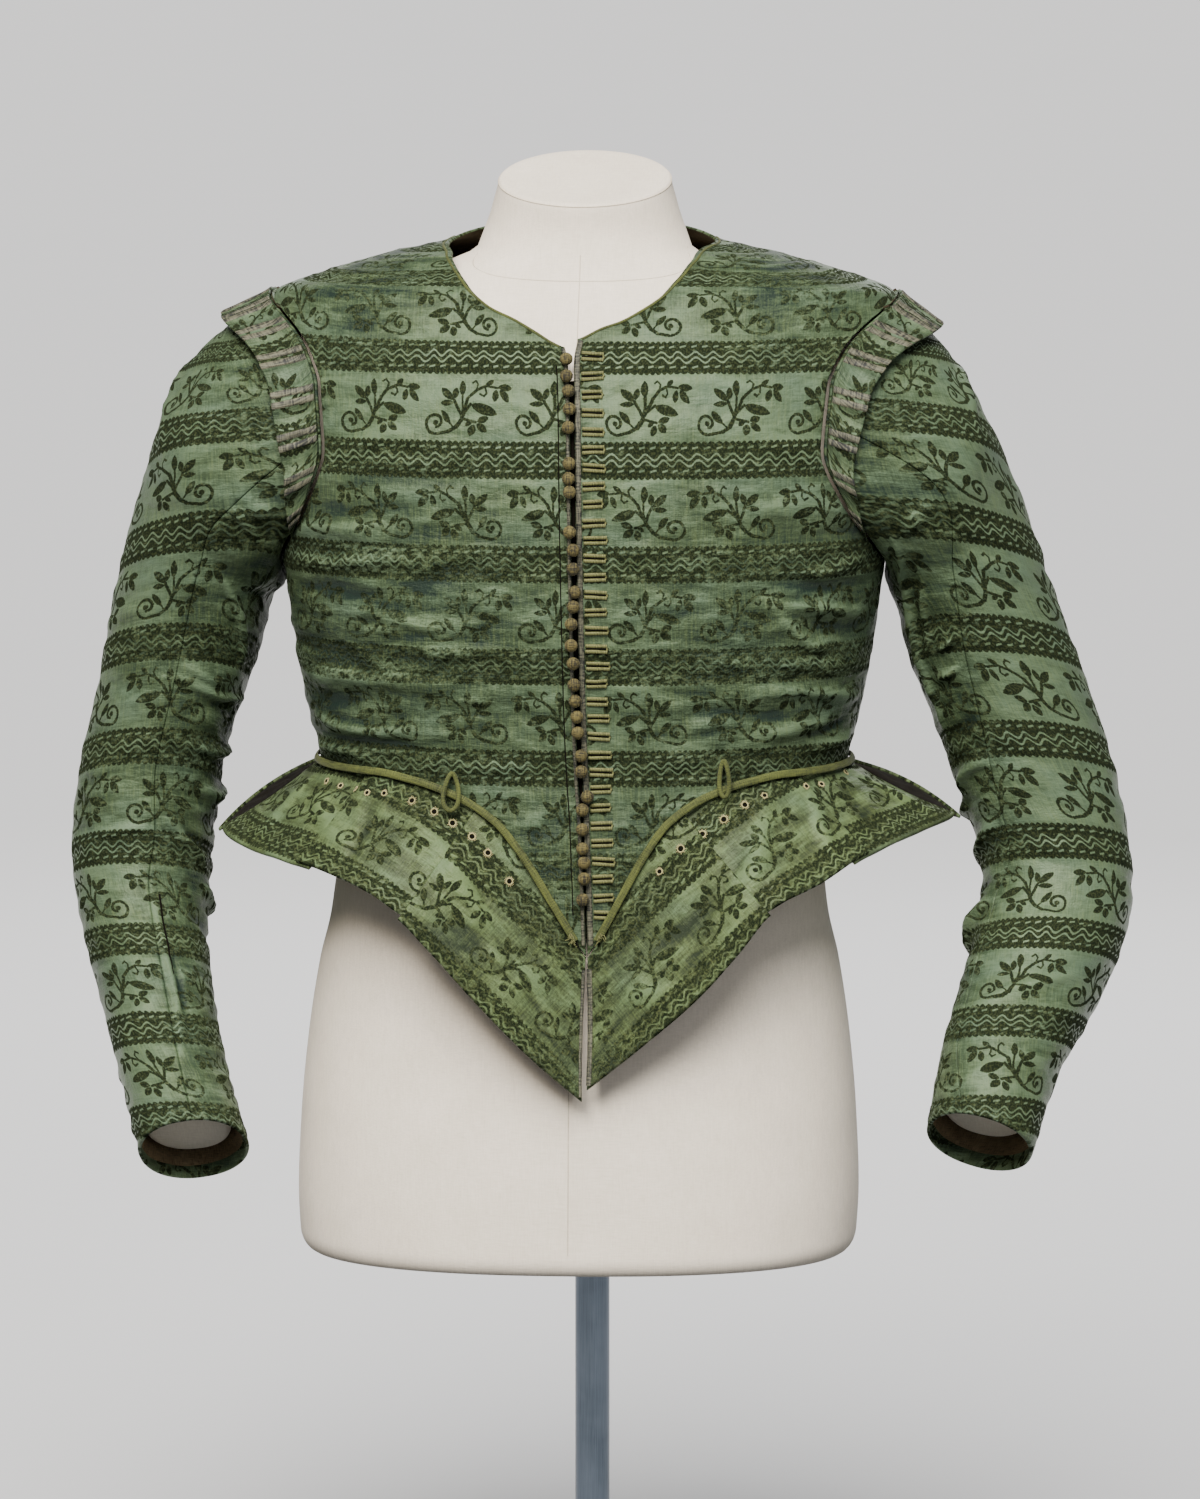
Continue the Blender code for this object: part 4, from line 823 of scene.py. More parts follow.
@dataclass(frozen=True)
class CutVelvetSilk:
    """Silk woven on a hand loom with pile figures on a satin ground: the ground shines, the pile drinks light."""

    name: str = "cut_velvet_silk_handwoven"
    ground_light: str = "#5c6e54"
    ground_mid: str = "#3c4a34"
    ground_deep: str = "#1b2823"
    warp_yellow: str = "#5c6530"
    bloom: str = "#4f655b"
    pile: str = "#1c2318"
    pile_light: str = "#393f28"
    worn: str = "#615c2c"
    ground_roughness: float = 0.40
    pile_roughness: float = 0.88
    wear: float = 0.0

    def build(self, figures: WovenFigures) -> bpy.types.Material:
        """Make the material on the UV map named cloth, which is in metres, with the woven repeat."""
        material = new_material(self.name)
        colours = {name: linear(value) for name, value in vars(self).items() if str(value).startswith("#")}
        made = Recipe(material.node_tree, **colours, rest=self.wear, base=self.ground_roughness,
                      matt=self.pile_roughness - self.ground_roughness)
        cloth = made.millimetres(True)
        # the figures' edges are uneven by tufts of pile about 1 mm across; warp and weft streaks about 1 mm
        # apart are drawn twice as coarse as the real threads, so that they show
        # the long flat noise raises soft tucks in the relief and, in the colour, paints light smears and darker streaks
        # on them: painted sheen and painted shade of the tucks
        made.speckles(cloth, ragged=(0.9, 0.9, 1.0, 1.0, 0.5, 0.0), drift=(0.05, 0.05, 1.0, 1.0, 0.5, 7.0),
                      warp=(0.85, 0.05, 1.0, 2.0, 0.7, 0.0), weft=(0.06, 0.9, 1.0, 2.0, 0.7, 3.0),
                      smear=(0.026, 0.105, 1.0, 5.0, 0.62, 11.0), patch=(0.16, 0.24, 1.0, 4.0, 0.7, 19.0),
                      tuft=(0.8, 0.6, 1.0, 2.0, 0.6, 31.0), cloud=(0.022, 0.03, 1.0, 3.0, 0.6, 43.0))
        made.named["across"], up, _ = add_node(made.tree, "ShaderNodeSeparateXYZ", {0: cloth}).outputs
        made.sums("u = across + (drift - 0.5) * 5")
        woven = {"node_tree": figures.group, "U": made.named["u"], "V": up, "Ragged": made.named["ragged"]}
        made.named["woven"] = add_node(made.tree, "ShaderNodeGroup", woven).outputs["Pile"]
        # the second attribute holds the creases' lift, which in the tone paints highlight on their ridges and shade in
        # their troughs
        for name in ("spots", "fold"):
            source = {"attribute_name": name if name == "fold" else "wear"}
            made.named[name] = add_node(made.tree, "ShaderNodeAttribute", source).outputs["Fac"]
        # the tone falls where the spots attribute is high: it darkens worn places and paints shade on the belly and
        # under the arms
        made.sums("wear = spots + rest",
                  "tone = 0.91 - wear * 0.44 + (smear - 0.5) * (0.8 + wear * 2.0) + (warp - 0.5) * 0.85"
                  " + (weft - 0.5) * 0.6 + (patch - 0.5) * 0.7 + (tuft - 0.5) * wear * 0.9 + fold * 0.5",
                  "ground = mix(clip(tone * 2), ground_deep, ground_mid)",
                  "ground = mix(clip(tone * 2 - 1), ground, ground_light)",
                  "ground = mix(clip((cloud - 0.46) * 3.2) * 0.4 * clip(tone), ground, bloom)",
                  "gilt = clip((warp - 0.5) * 3 + (0.5 - cloud)) * 0.4 * clip(tone + 0.2)",
                  "ground = mix(gilt, ground, warp_yellow)",
                  "pile = mix(clip((tuft - 0.46) * 6) * 0.8, pile, pile_light)",
                  "rubbed = clip((patch - 0.6) * 4 + wear * 0.5) * clip((tuft - 0.45) * 6)",
                  "pile = mix(rubbed, pile, worn)",
                  "thin = clip((patch - 0.57) * 5 + wear * 0.8 - 0.12) * 0.85",
                  "cover = woven * (1 - thin)",
                  "colour = mix(cover, ground, pile)",
                  "rough = base + cover * matt + wear * 0.1",
                  # in millimetres: soft tucks of the silk, higher where it is worn, then its threads
                  "relief = smear * (1.0 + wear * 2.2) + patch * 1.0 + warp * 0.16 + weft * 0.12",
                  "gloss = 0.48 - cover * 0.4 - wear * 0.1")
        # light glances off dyed fibre, so what it throws back is green too
        return made.finished(material, 0.8, MM, {
            "Specular IOR Level": made.named["gloss"], "Specular Tint": linear("#b0baa0"), "Sheen Weight": 0.05,
            "Sheen Roughness": 0.35, "Sheen Tint": linear("#90a17a"), "IOR": 1.54})


@dataclass(frozen=True)
class PlainWeave:
    """A plain woven or twisted thread finish in two tones, with its threads as fine relief."""

    name: str
    light: str
    dark: str
    thread_mm: float = 0.7
    roughness: float = 0.85
    relief_mm: float = 0.25
    sheen: float = 0.15
    stretch: float = 1.0
    metallic: float = 0.0
    on_chart: bool = True
    contrast: float = 1.1
    gloss: float = 0.4

    def build(self, _: WovenFigures) -> bpy.types.Material:
        """Make the material, on the piece's chart or on its Object coordinates."""
        material = new_material(self.name)
        made = Recipe(material.node_tree, light=linear(self.light), dark=linear(self.dark), contrast=self.contrast,
                      base=self.roughness)
        along = 1.0 / self.thread_mm
        across, down = along * 0.12, along * self.stretch
        made.speckles(made.millimetres(self.on_chart), a=(along, across, across, 1.0, 0.5, 0.0),
                      b=(across, down, down, 1.0, 0.5, 5.0), cloud=(0.03, 0.03, 0.03, 3.0, 0.6, 9.0))
        made.sums("share = clip(((a - 0.5) + (b - 0.5)) * contrast + (cloud - 0.5) * 1.3 + 0.5)",
                  "colour = mix(share, dark, light)",
                  "relief = a + b",
                  "rough = base + (cloud - 0.5) * 0.15")
        return made.finished(material, 0.5, self.relief_mm * MM, {
            "Metallic": self.metallic, "Sheen Weight": self.sheen, "Specular IOR Level": self.gloss})


@dataclass(frozen=True)
class BrushedSteel:
    """Steel drawn or turned and brushed: fine lines along the tube or round the disc blur the light."""

    name: str
    light: str
    dark: str
    roughness: float
    scale: Tuple[float, float, float]

    def build(self, _: WovenFigures) -> bpy.types.Material:
        """Make the material on Object coordinates."""
        material = new_material(self.name)
        made = Recipe(material.node_tree, light=linear(self.light), dark=linear(self.dark), base=self.roughness)
        made.speckles(made.millimetres(False), relief=(*self.scale, 3.0, 0.6, 0.0),
                      smudge=(0.02, 0.02, 0.02, 3.0, 0.6, 4.0))
        made.sums("colour = mix(clip((relief - 0.5) * 1.4 + (smudge - 0.5) * 1.2 + 0.5), dark, light)",
                  "rough = base + (relief - 0.5) * 0.2 + (smudge - 0.5) * 0.2")
        return made.finished(material, 0.25, 0.05 * MM, {"Metallic": 1.0})


FINISHES = {
    # hand-woven silk velvet: a ground with the soft shine of satin, and cut pile that drinks the light
    "silk": CutVelvetSilk(),
    # the same silk rubbed and faded, as the laps are: paler, yellower and duller
    "worn_silk": CutVelvetSilk(name="cut_velvet_silk_handwoven_rubbed", ground_light="#61734d", ground_mid="#424c31",
                               ground_deep="#252d21", wear=0.3),
    # thin plain taffeta browned by age: dull, dark and even inside the garment
    "lining": PlainWeave("silk_taffeta_woven_lining", "#3d3423", "#1b150d", 0.6, 0.85, 0.15, 0.0, gloss=0.2),
    # brown fustian inside the sleeves: dull, and lighter than the body's lining
    "sleeve_lining": PlainWeave("cotton_fustian_woven_sleeve_lining", "#8a795c", "#4e402d", 0.6, 0.85, 0.15, 0.0,
                                gloss=0.2),
    # silk braid wrapped with tarnished gilt strip: grey with a few warm glints
    "braid": PlainWeave("gilt_silver_thread_braid_woven", "#666552", "#181a17", 1.2, 0.6, 0.5, 0.03, 1.0, 0.1,
                        contrast=2.6),
    # flat plaited silk cord: a soft satin line broken by its plait
    "cord": PlainWeave("silk_cord_braided_flat", "#5c632c", "#252c10", 1.1, 0.78, 0.5, 0.06, 1.5, contrast=1.6),
    # silk wound over a mould: faint bright turns between dark ones
    "thread": PlainWeave("silk_thread_wound_button", "#696036", "#1f1c0f", 0.8, 0.8, 0.5, 0.05, contrast=2.2,
                         on_chart=False),
    # close buttonhole stitch in faded silk: pale corded bars
    "bar_thread": PlainWeave("silk_thread_buttonhole_stitched", "#858552", "#404422", 0.8, 0.75, 0.4, 0.05,
                             contrast=1.8),
    # cream silk whipped round a hole: small light rings
    "eyelet_thread": PlainWeave("silk_thread_eyelet_stitched", "#b9b07c", "#7f784c", 0.7, 0.75, 0.25, 0.2,
                                on_chart=False),
    # interlining deep inside holes and slits: nearly black
    "hole_shade": PlainWeave("linen_interlining_woven_in_shadow", "#110e07", "#070604", 0.7, 0.95, 0.1, 0.0,
                             gloss=0.1, on_chart=False),
    # cotton sewing thread in the cover's seams: a thin line, slightly darker than the cover
    "seam_thread": PlainWeave("cotton_thread_sewn_seam", "#e4d9c6", "#cbbfa9", 0.7, 0.9, 0.1, 0.0, on_chart=False),
    # unbleached calico stretched over padding: warm white and matt
    "linen": PlainWeave("cotton_calico_woven_form_cover", "#fff3e0", "#efe3cf", 1.0, 0.9, 0.15, 0.1, on_chart=False),
    # cotton jersey over the sleeve fillings: cream and soft
    "pad_linen": PlainWeave("cotton_jersey_knitted_pad_cover", "#f4ebd8", "#e2d8c4", 0.9, 0.9, 0.15, 0.1,
                            on_chart=False),
    # drawn and brushed tube: long blurred streaks down its length
    "steel": BrushedSteel("stainless_steel_drawn_brushed_tube", "#69727d", "#444c55", 0.34, (2.0, 2.0, 0.03)),
    # rolled plate with a fine even tooth: a broad dim shine
    "base_steel": BrushedSteel("mild_steel_rolled_base_plate", "#8f969e", "#747b83", 0.42, (0.5, 0.5, 2.0)),
    # matt paper: no shine at all
    "floor": PlainWeave("paper_matt_studio_floor", "#d9dadc", "#d8d9db", 400.0, 0.95, 0.0, 0.0, gloss=0.0,
                        on_chart=False),
}
Finishes = Dict[str, bpy.types.Material]


@dataclass
class BodyPanel:
    """One front or one back half of the doublet's body, spanned between its four edges."""

    side: Side
    ahead: bool
    creases: Tuple[Crease, ...] = ()
    wear: Sequence[float] = ()
    spread: float = 1.3
    tip_spread: float = 1.3
    origin: float = 0.0

    @property
    def shares(self) -> Tuple[float, float]:
        """Shares of the far edge at which the underarm and the shoulder tip lie."""
        return (7 / 20, 17 / 20) if self.ahead else (6 / 18, 15 / 18)

    def bottom(self, share: Array) -> Array:
        """Angle and height along the waist seam."""
        angle = 90.0 * share ** self.spread
        return chart_of(angle - 0.07 * share, WAIST.at("height", angle if self.ahead else 180.0 - angle))

    def top(self, share: Array) -> Array:
        """Angle and height along the neckline."""
        if not self.ahead:
            return edge_run([(180.0 - angle, height) for angle, height in BACK_NECK], share)
        marks = [(angle_across(run, height), height) for run, height in FRONT_NECK[self.side.value]]
        return edge_run(marks + [NECK_SIDE], share) - chart_of(0.1 * share, 0.0 * share)

    def far(self, share: Array) -> Array:
        """Angle and height up the side seam, round the armhole and along the shoulder seam."""
        underarm, tip = self.shares
        low_angle, low_height = armhole_mark(self.side, UNDERARM_PHI)
        part = share / underarm
        rest = UNDERARM_PHI * np.clip((tip - share) / (tip - underarm), 0.0, 1.0) ** self.tip_spread
        last = np.clip((share - tip) / (1 - tip), 0.0, 1.0)
        mark = armhole_mark(self.side, rest if self.ahead else 360.0 - rest)
        way, hole, ridge = ((1, mark[..., 0] - 0.1, NECK_SIDE[0] - 0.1) if self.ahead
                            else (-1, 179.9 - mark[..., 0], 180.0 - BACK_NECK[-1][0]))
        angle = np.where(share <= underarm, 89.93 + way * (low_angle - 90.0) * part, hole)
        height = np.where(share <= underarm, SIDE_WAIST_HEIGHT + (low_height - SIDE_WAIST_HEIGHT) * part, mark[..., 1])
        return chart_of(np.where(share <= tip, angle, ridge),
                        np.where(share <= tip, height, SHOULDER_HEIGHT + (NECK_SIDE[1] - SHOULDER_HEIGHT) * last))

    def spots(self, across: Array, up: Array) -> Tuple[Array, Array]:
        """Angle from the middle edge and height at shares across and up the panel."""
        across, up = np.meshgrid(across, up, indexing="ij")
        low, high, edge = self.bottom(across), self.top(across), self.far(up)
        low_end, high_end = self.bottom(np.ones_like(across)), self.top(np.ones_like(across))
        share = (1 - up) * low[..., 0] / low_end[..., 0] + up * high[..., 0] / high_end[..., 0]
        straight_edge = (1 - up) * low_end[..., 1] + up * high_end[..., 1]
        height = (1 - up) * low[..., 1] + up * high[..., 1] + share * (edge[..., 1] - straight_edge)
        return edge[..., 0] * share, height

    def build(self, finishes: Finishes) -> bpy.types.Object:
        """Make the panel and put it in its solid's place."""
        turn, height = self.spots(spaced(0.285), np.unique(np.concatenate([spaced(0.40), self.shares])))
        sign, way = self.side.sign, 1 if self.ahead else -1
        angle = turn if self.ahead else 180.0 - turn
        level = section_arc(self.ahead, turn, height)
        flat = chart_of(sign * way * level + self.origin, climb(sign, angle, height) - BAND_LEVEL)
        cloth = Cloth(("front_" if self.ahead else "back_") + self.side.value, body_point(sign, angle, height), flat,
                      sign * way, 11 + sign + 5 * self.ahead, self.creases, chart_of(level, height), 0.4 * MM)
        return cloth.build([finishes["silk"], finishes["lining"]], self.wear)


def section_arc(ahead: bool, turn: Array, height: Array) -> Array:
    """Level arc length from the middle edge to an angle from it, at each height."""
    return walked(lambda share: BODY.point(1, turn * share if ahead else 180.0 - turn * share, height), 24)


class SleeveShape:
    """Surface of one sleeve through its cross rings."""

    def __init__(self, side: Side) -> None:
        """Keep the side and its rows."""
        self.side = side
        self.rows = np.reshape(SLEEVE_ROWS[side.value], (-1, 6)) * MM
        self.last = len(self.rows)

    def centre(self, number: int) -> Array:
        """Middle of a ring."""
        row = self.rows[min(max(number, 0), self.last - 1)]
        return np.array([self.side.sign * (row[0] + row[2]) / 2, row[4], (row[1] + row[3]) / 2])

    def ring(self, number: int, phi: Array) -> Array:
        """Points of one ring at angles round it; ring 0 follows the armhole."""
        phi, sign = phi % 360.0, self.side.sign
        if number == 0:
            mark = armhole_mark(self.side, phi)
            return body_point(sign, mark[..., 0], mark[..., 1]) + np.array([sign * SLEEVE_HEAD_GAP, 0.0, 0.0])
        row = self.rows[number - 1]
        reach = np.array([sign * (row[0] - row[2]) / 2, 0.0, (row[1] - row[3]) / 2])
        depth = unit(np.cross(reach, self.centre(number) - self.centre(number - 2))) * row[5]
        depth = -depth if depth[1] > 0 else depth
        along, over = (np.sign(part) * np.abs(part) ** (2.0 / SLEEVE_ROUNDNESS)
                       for part in (np.cos(np.radians(phi)), np.sin(np.radians(phi))))
        return self.centre(number - 1) + reach * along[..., None] + depth * over[..., None]

    def normal(self, place: Array, phi: Array) -> Array:
        """Outward directions of the surface."""
        along = (self.surface(np.minimum(place + 0.03, float(self.last)), phi)
                 - self.surface(np.maximum(place - 0.03, 0.0), phi))
        around = self.surface(place, phi + 1.5) - self.surface(place, phi - 1.5)
        return unit(np.cross(along, around)) * -self.side.sign

    def surface(self, place: Array, phi: Array) -> Array:
        """Points on the surface between the armhole (place 0) and the cuff (place 10)."""
        place, phi = paired(place, phi)
        place = np.clip(place, 0.0, float(self.last))
        rings = [self.ring(number, phi) for number in range(self.last + 1)]
        stack = np.stack([2 * rings[0] - rings[1], *rings, 2 * rings[-1] - rings[-2]])
        number = np.minimum(place.astype(int), self.last - 1)
        before, start, finish, after = (np.take_along_axis(stack, (number + shift)[None, ..., None], axis=0)[0]
                                        for shift in range(4))
        start_slope = (finish - before) / 2 * np.where(number == 0, 0.8, 1.0)[..., None]
        return cubic((place - number)[..., None], start, finish, start_slope, (after - start) / 2)


@dataclass
class Sleeve:
    """Two-piece sleeve from the armhole to the open cuff."""

    side: Side
    creases: Tuple[Crease, ...] = ()
    row_shift: float = 0.0
    origin: float = 0.0
    wear: Sequence[float] = ()
    turned_in: float = 9.80

    def chart(self, shape: SleeveShape, place: Array, phi: Array, points: Array) -> Array:
        """Flat cloth coordinates: round the arm from its front line, and up it along the grain.

        Args:
            shape: the sleeve's surface.
            place: places down the sleeve.
            phi: angles round it.
            points: the surface there.

        Returns:
            Pairs of both coordinates.
        """
        height = points[..., 2]
        crown = np.maximum(height - CROWN_LEVEL, 0.0)
        v = height + 0.35 * points[..., 1] + 5.5 * crown ** 2 - BAND_LEVEL + self.row_shift
        arc = walked(lambda share: shape.surface(place, 90.0 + (phi - 90.0) * share), 16) * np.sign(phi - 90.0)
        rows = shape.rows[::-1]
        far, near, depth = (np.interp(height, rows[:, key], rows[:, column])
                            for key, column in ((1, 0), (3, 2), (1, 5)))
        half = (far - near) / 2
        aside = points[..., 0] * self.side.sign - (far + near) / 2
        turn = np.arctan2(aside / half, -(points[..., 1] - SLEEVE_MIDDLE) / depth)
        steps = [turn * (number + 0.5) / 24 for number in range(24)]
        level = -turn * np.mean([np.hypot(half * np.cos(step), depth * np.sin(step)) for step in steps], axis=0)
        share = smooth((place - 1.4) / 1.4)
        return chart_of(-(level * (1 - share) + arc * share) * self.side.sign + self.origin + 0.18 * v, v)

    def build(self, finishes: Finishes) -> List[bpy.types.Object]:
        """Make both halves and return their objects, the outer one first."""
        shape, made = SleeveShape(self.side), []
        rows = spaced(0.615) * 10.0
        share, place = np.meshgrid(spaced(0.178), rows, indexing="ij")
        seam = SEAM[self.side.value].at("phi", place)
        # the inner half lies under the arm and is darker all over: wear and painted shade
        halves = {"outer": (BACK_SEAM - 360.0 + 0.03, seam - 0.03, -0.15),
                  "inner": (seam + 0.03, BACK_SEAM - 0.03, 0.8)}
        for number, (half, (first, last, least)) in enumerate(halves.items()):
            phi = first * (1 - share) + last * share
            points = shape.surface(place, phi)
            cloth = Cloth("sleeve_%s_%s" % (self.side.value, half), points, self.chart(shape, place, phi, points),
                          facing(points, shape.normal(place, phi)), 31 + self.side.sign + 7 * number, self.creases,
                          chart_of(phi * SLEEVE_DEGREE, place * SLEEVE_RING))
            # the silk is turned in at the cuff
            cloth.inner_layer = np.where(rows[:-1] >= self.turned_in, Layer.FACE.value, Layer.LINING.value)
            made.append(cloth.build([finishes["silk"], finishes["sleeve_lining"]], self.wear, least))
        return made


@dataclass
class Wing:
    """Crescent wing over the head of a sleeve, crossed by pairs of braid bars."""

    side: Side
    bar_width: float = 4.3 * MM
    bar_gap: float = 2.4 * MM
    bar_rise: float = 0.9 * MM

    def columns(self, shape: SleeveShape) -> Tuple[Array, Array, Array]:
        """Angles across the wing, the braid's rise there and whether braid lies from each to the next."""
        samples = np.linspace(-WING_END_PHI, WING_END_PHI, 721)
        lengths = grid_run(shape.surface(0.35, samples), 0)
        total, half, slope = lengths[-1], self.bar_width / 2, 0.25 * MM
        profile = ((-half, 0.0), (-half + slope, 0.75), (-half + 3 * slope, 1.0), (0.0, 1.1),
                   (half - 3 * slope, 1.0), (half - slope, 0.75), (half, 0.0))
        marks = [(0.0, 0.0, False)]
        for number in range(WING_RIB_COUNT):
            middle = total * (number + 0.75) / (WING_RIB_COUNT + 0.5)
            for sign in (-1, 1):
                centre = middle + sign * (self.bar_width + self.bar_gap) / 2
                marks.extend((centre + offset, rise, offset < half) for offset, rise in profile)
            marks.append((middle + total * 0.5 / (WING_RIB_COUNT + 0.5), 0.0, False))
        marks[-1] = (total, 0.0, False)
        spots, rise, braided = np.array(marks).T
        return np.interp(spots, lengths, samples), rise, braided > 0

    def build(self, finishes: Finishes) -> bpy.types.Object:
        """Make the wing and put it in its solid's place."""
        shape = SleeveShape(self.side)
        phi, rise, braided = self.columns(shape)
        share = spaced(0.034, 2.4 * MM)
        width, stand = (WING[self.side.value].at(name, np.abs(phi)) for name in ("width", "stand_off"))
        steps = np.linspace(0.0, 1.2, 13)
        runs = grid_run(shape.surface(steps[:, None], phi), 0)
        place = np.array([np.interp(WING_START + reach * share, run, steps) for reach, run in zip(width, runs.T)])
        angle = np.repeat(phi[:, None], len(share), axis=1)
        lift = WING_LIFT + stand[:, None] * share ** 1.3
        base, normal = shape.surface(place, angle), shape.normal(place, angle)
        outer = base + (lift + WALL + rise[:, None] * self.bar_rise)[..., None] * normal
        cloth = Cloth("wing_" + self.side.value, outer, chart_of(grid_run(outer, 1), -grid_run(outer, 0)),
                      facing(outer, normal), 51, crinkle_rise=0.25 * MM, turned=0.7 * MM)
        cloth.inner = base + lift[..., None] * normal
        cloth.face_layer = np.where(braided[:-1], Layer.BRAID.value, Layer.FACE.value)[:, None]
        return cloth.build([finishes["silk"], finishes["lining"], finishes["braid"]])


class LapShape:
    """Surface of the laps on one side, between the waist seam and their lower edge."""

    def __init__(self, side: Side) -> None:
        """Keep the side and its lower edge."""
        self.side = side
        self.hem = HEM[side.value]

    def surface(self, along: Array, down: Array) -> Array:
        """Points at a place along the waist and a share of the depth."""
        along, down = paired(along, down)
        angle = self.hem.at("waist_angle", along)
        start, low, high = (body_point(self.side.sign, turn, WAIST.at("height", turn))
                            for turn in (angle, np.maximum(angle - 0.5, 0.0), np.minimum(angle + 0.5, 180.0)))
        run = high - low
        start[..., 2] -= SEAM_GAP * np.linalg.norm(run, axis=-1) / np.linalg.norm(run[..., :2], axis=-1)
        finish = np.stack([self.hem.at(name, along) for name in ("out", "y", "z")], axis=-1)
        finish[..., 0] *= self.side.sign
        return start + (finish - start) * down[..., None]

    def normal(self, along: Array, down: Array) -> Array:
        """Outward directions of the surface."""
        sideways = (self.surface(np.minimum(along + 0.02, 4.0), down)
                    - self.surface(np.maximum(along - 0.02, 0.0), down))
        downwards = self.surface(along, 0.0 * down + 1.0) - self.surface(along, 0.0 * down)
        return unit(np.cross(sideways, downwards)) * -self.side.sign

    def at(self, along: Array, down: Array, outward: Union[float, Array] = 0.0,
           bow: Union[float, Array] = LAP_BOW) -> Array:
        """Points moved out along the normal, on a lap that bows in by a given depth."""
        along, down = paired(along, down)
        move = outward - bow * 4.0 * down * (1.0 - down)
        return self.surface(along, down) + move[..., None] * self.normal(along, down)


@dataclass
class Lap:
    """One of the four flared laps on a side below the waist."""

    side: Side
    row: Tuple[str, float, float, float, float, float]
    creases: Tuple[Crease, ...] = ()
    wear: Sequence[float] = ()

    def spots(self, along: Array) -> Tuple[Array, Array]:
        """Inward shift and bow at places along the lap."""
        _, start, _, tuck, _, bow = self.row
        fade = smooth((along - start - 0.03) / 0.22)
        shift = -LAP_LAYER * (1.0 - fade) if tuck > 0 else np.zeros_like(along)
        if bow > 0:
            return shift, np.full_like(along, bow)
        return shift, LAP_BOW + (bow - LAP_BOW) * np.maximum(0.0, 1.0 - (along - start) / 0.4)

    def build(self, finishes: Finishes) -> bpy.types.Object:
        """Make the lap and put it in its solid's place."""
        shape, sign = LapShape(self.side), self.side.sign
        name, start, end, tuck, depth_share, _ = self.row
        last = end if end == 4.0 else end - 0.004
        fine = np.linspace(start - tuck, last, 200)
        runs = grid_run(shape.surface(fine, 0.5), 0)
        depth = float(np.linalg.norm(shape.surface(last, 1.0) - shape.surface(last, 0.0)))
        along, down = np.meshgrid(np.interp(spaced(runs[-1]) * runs[-1], runs, fine),
                                  spaced(max(depth, 0.05)) * depth_share, indexing="ij")
        points, normal = shape.at(along, down, *self.spots(along)), shape.normal(along, down)
        if start < 2.0:
            # these laps are almost flat, so the figures are laid square to the lower edge
            hem_line = unit(points[-1, -1] - points[0, -1])
            rise = unit(np.cross(hem_line, np.mean(normal, axis=(0, 1))))
            rise = rise if rise[2] > 0 else -rise
            u = (points - points[0, -1]) @ hem_line
            v = (points - points[0, -1]) @ rise + (3 * MM if start < 1.0 else -6 * MM)
        else:
            u, lengths = grid_run(points[..., :2], 0), grid_run(points, 1)
            v = lengths[:, -1:] - lengths - 14 * MM
        cloth = Cloth("lap_%s_%s" % (self.side.value, name), points, chart_of(u * sign + 31 * MM * start, v),
                      facing(points, normal), 71 + int(start) + sign, self.creases,
                      chart_of(along * LAP_QUARTER, down * LAP_DEPTH), 0.3 * MM)
        return cloth.build([finishes["worn_silk"], finishes["lining"]], self.wear, 0.2, 0.4)


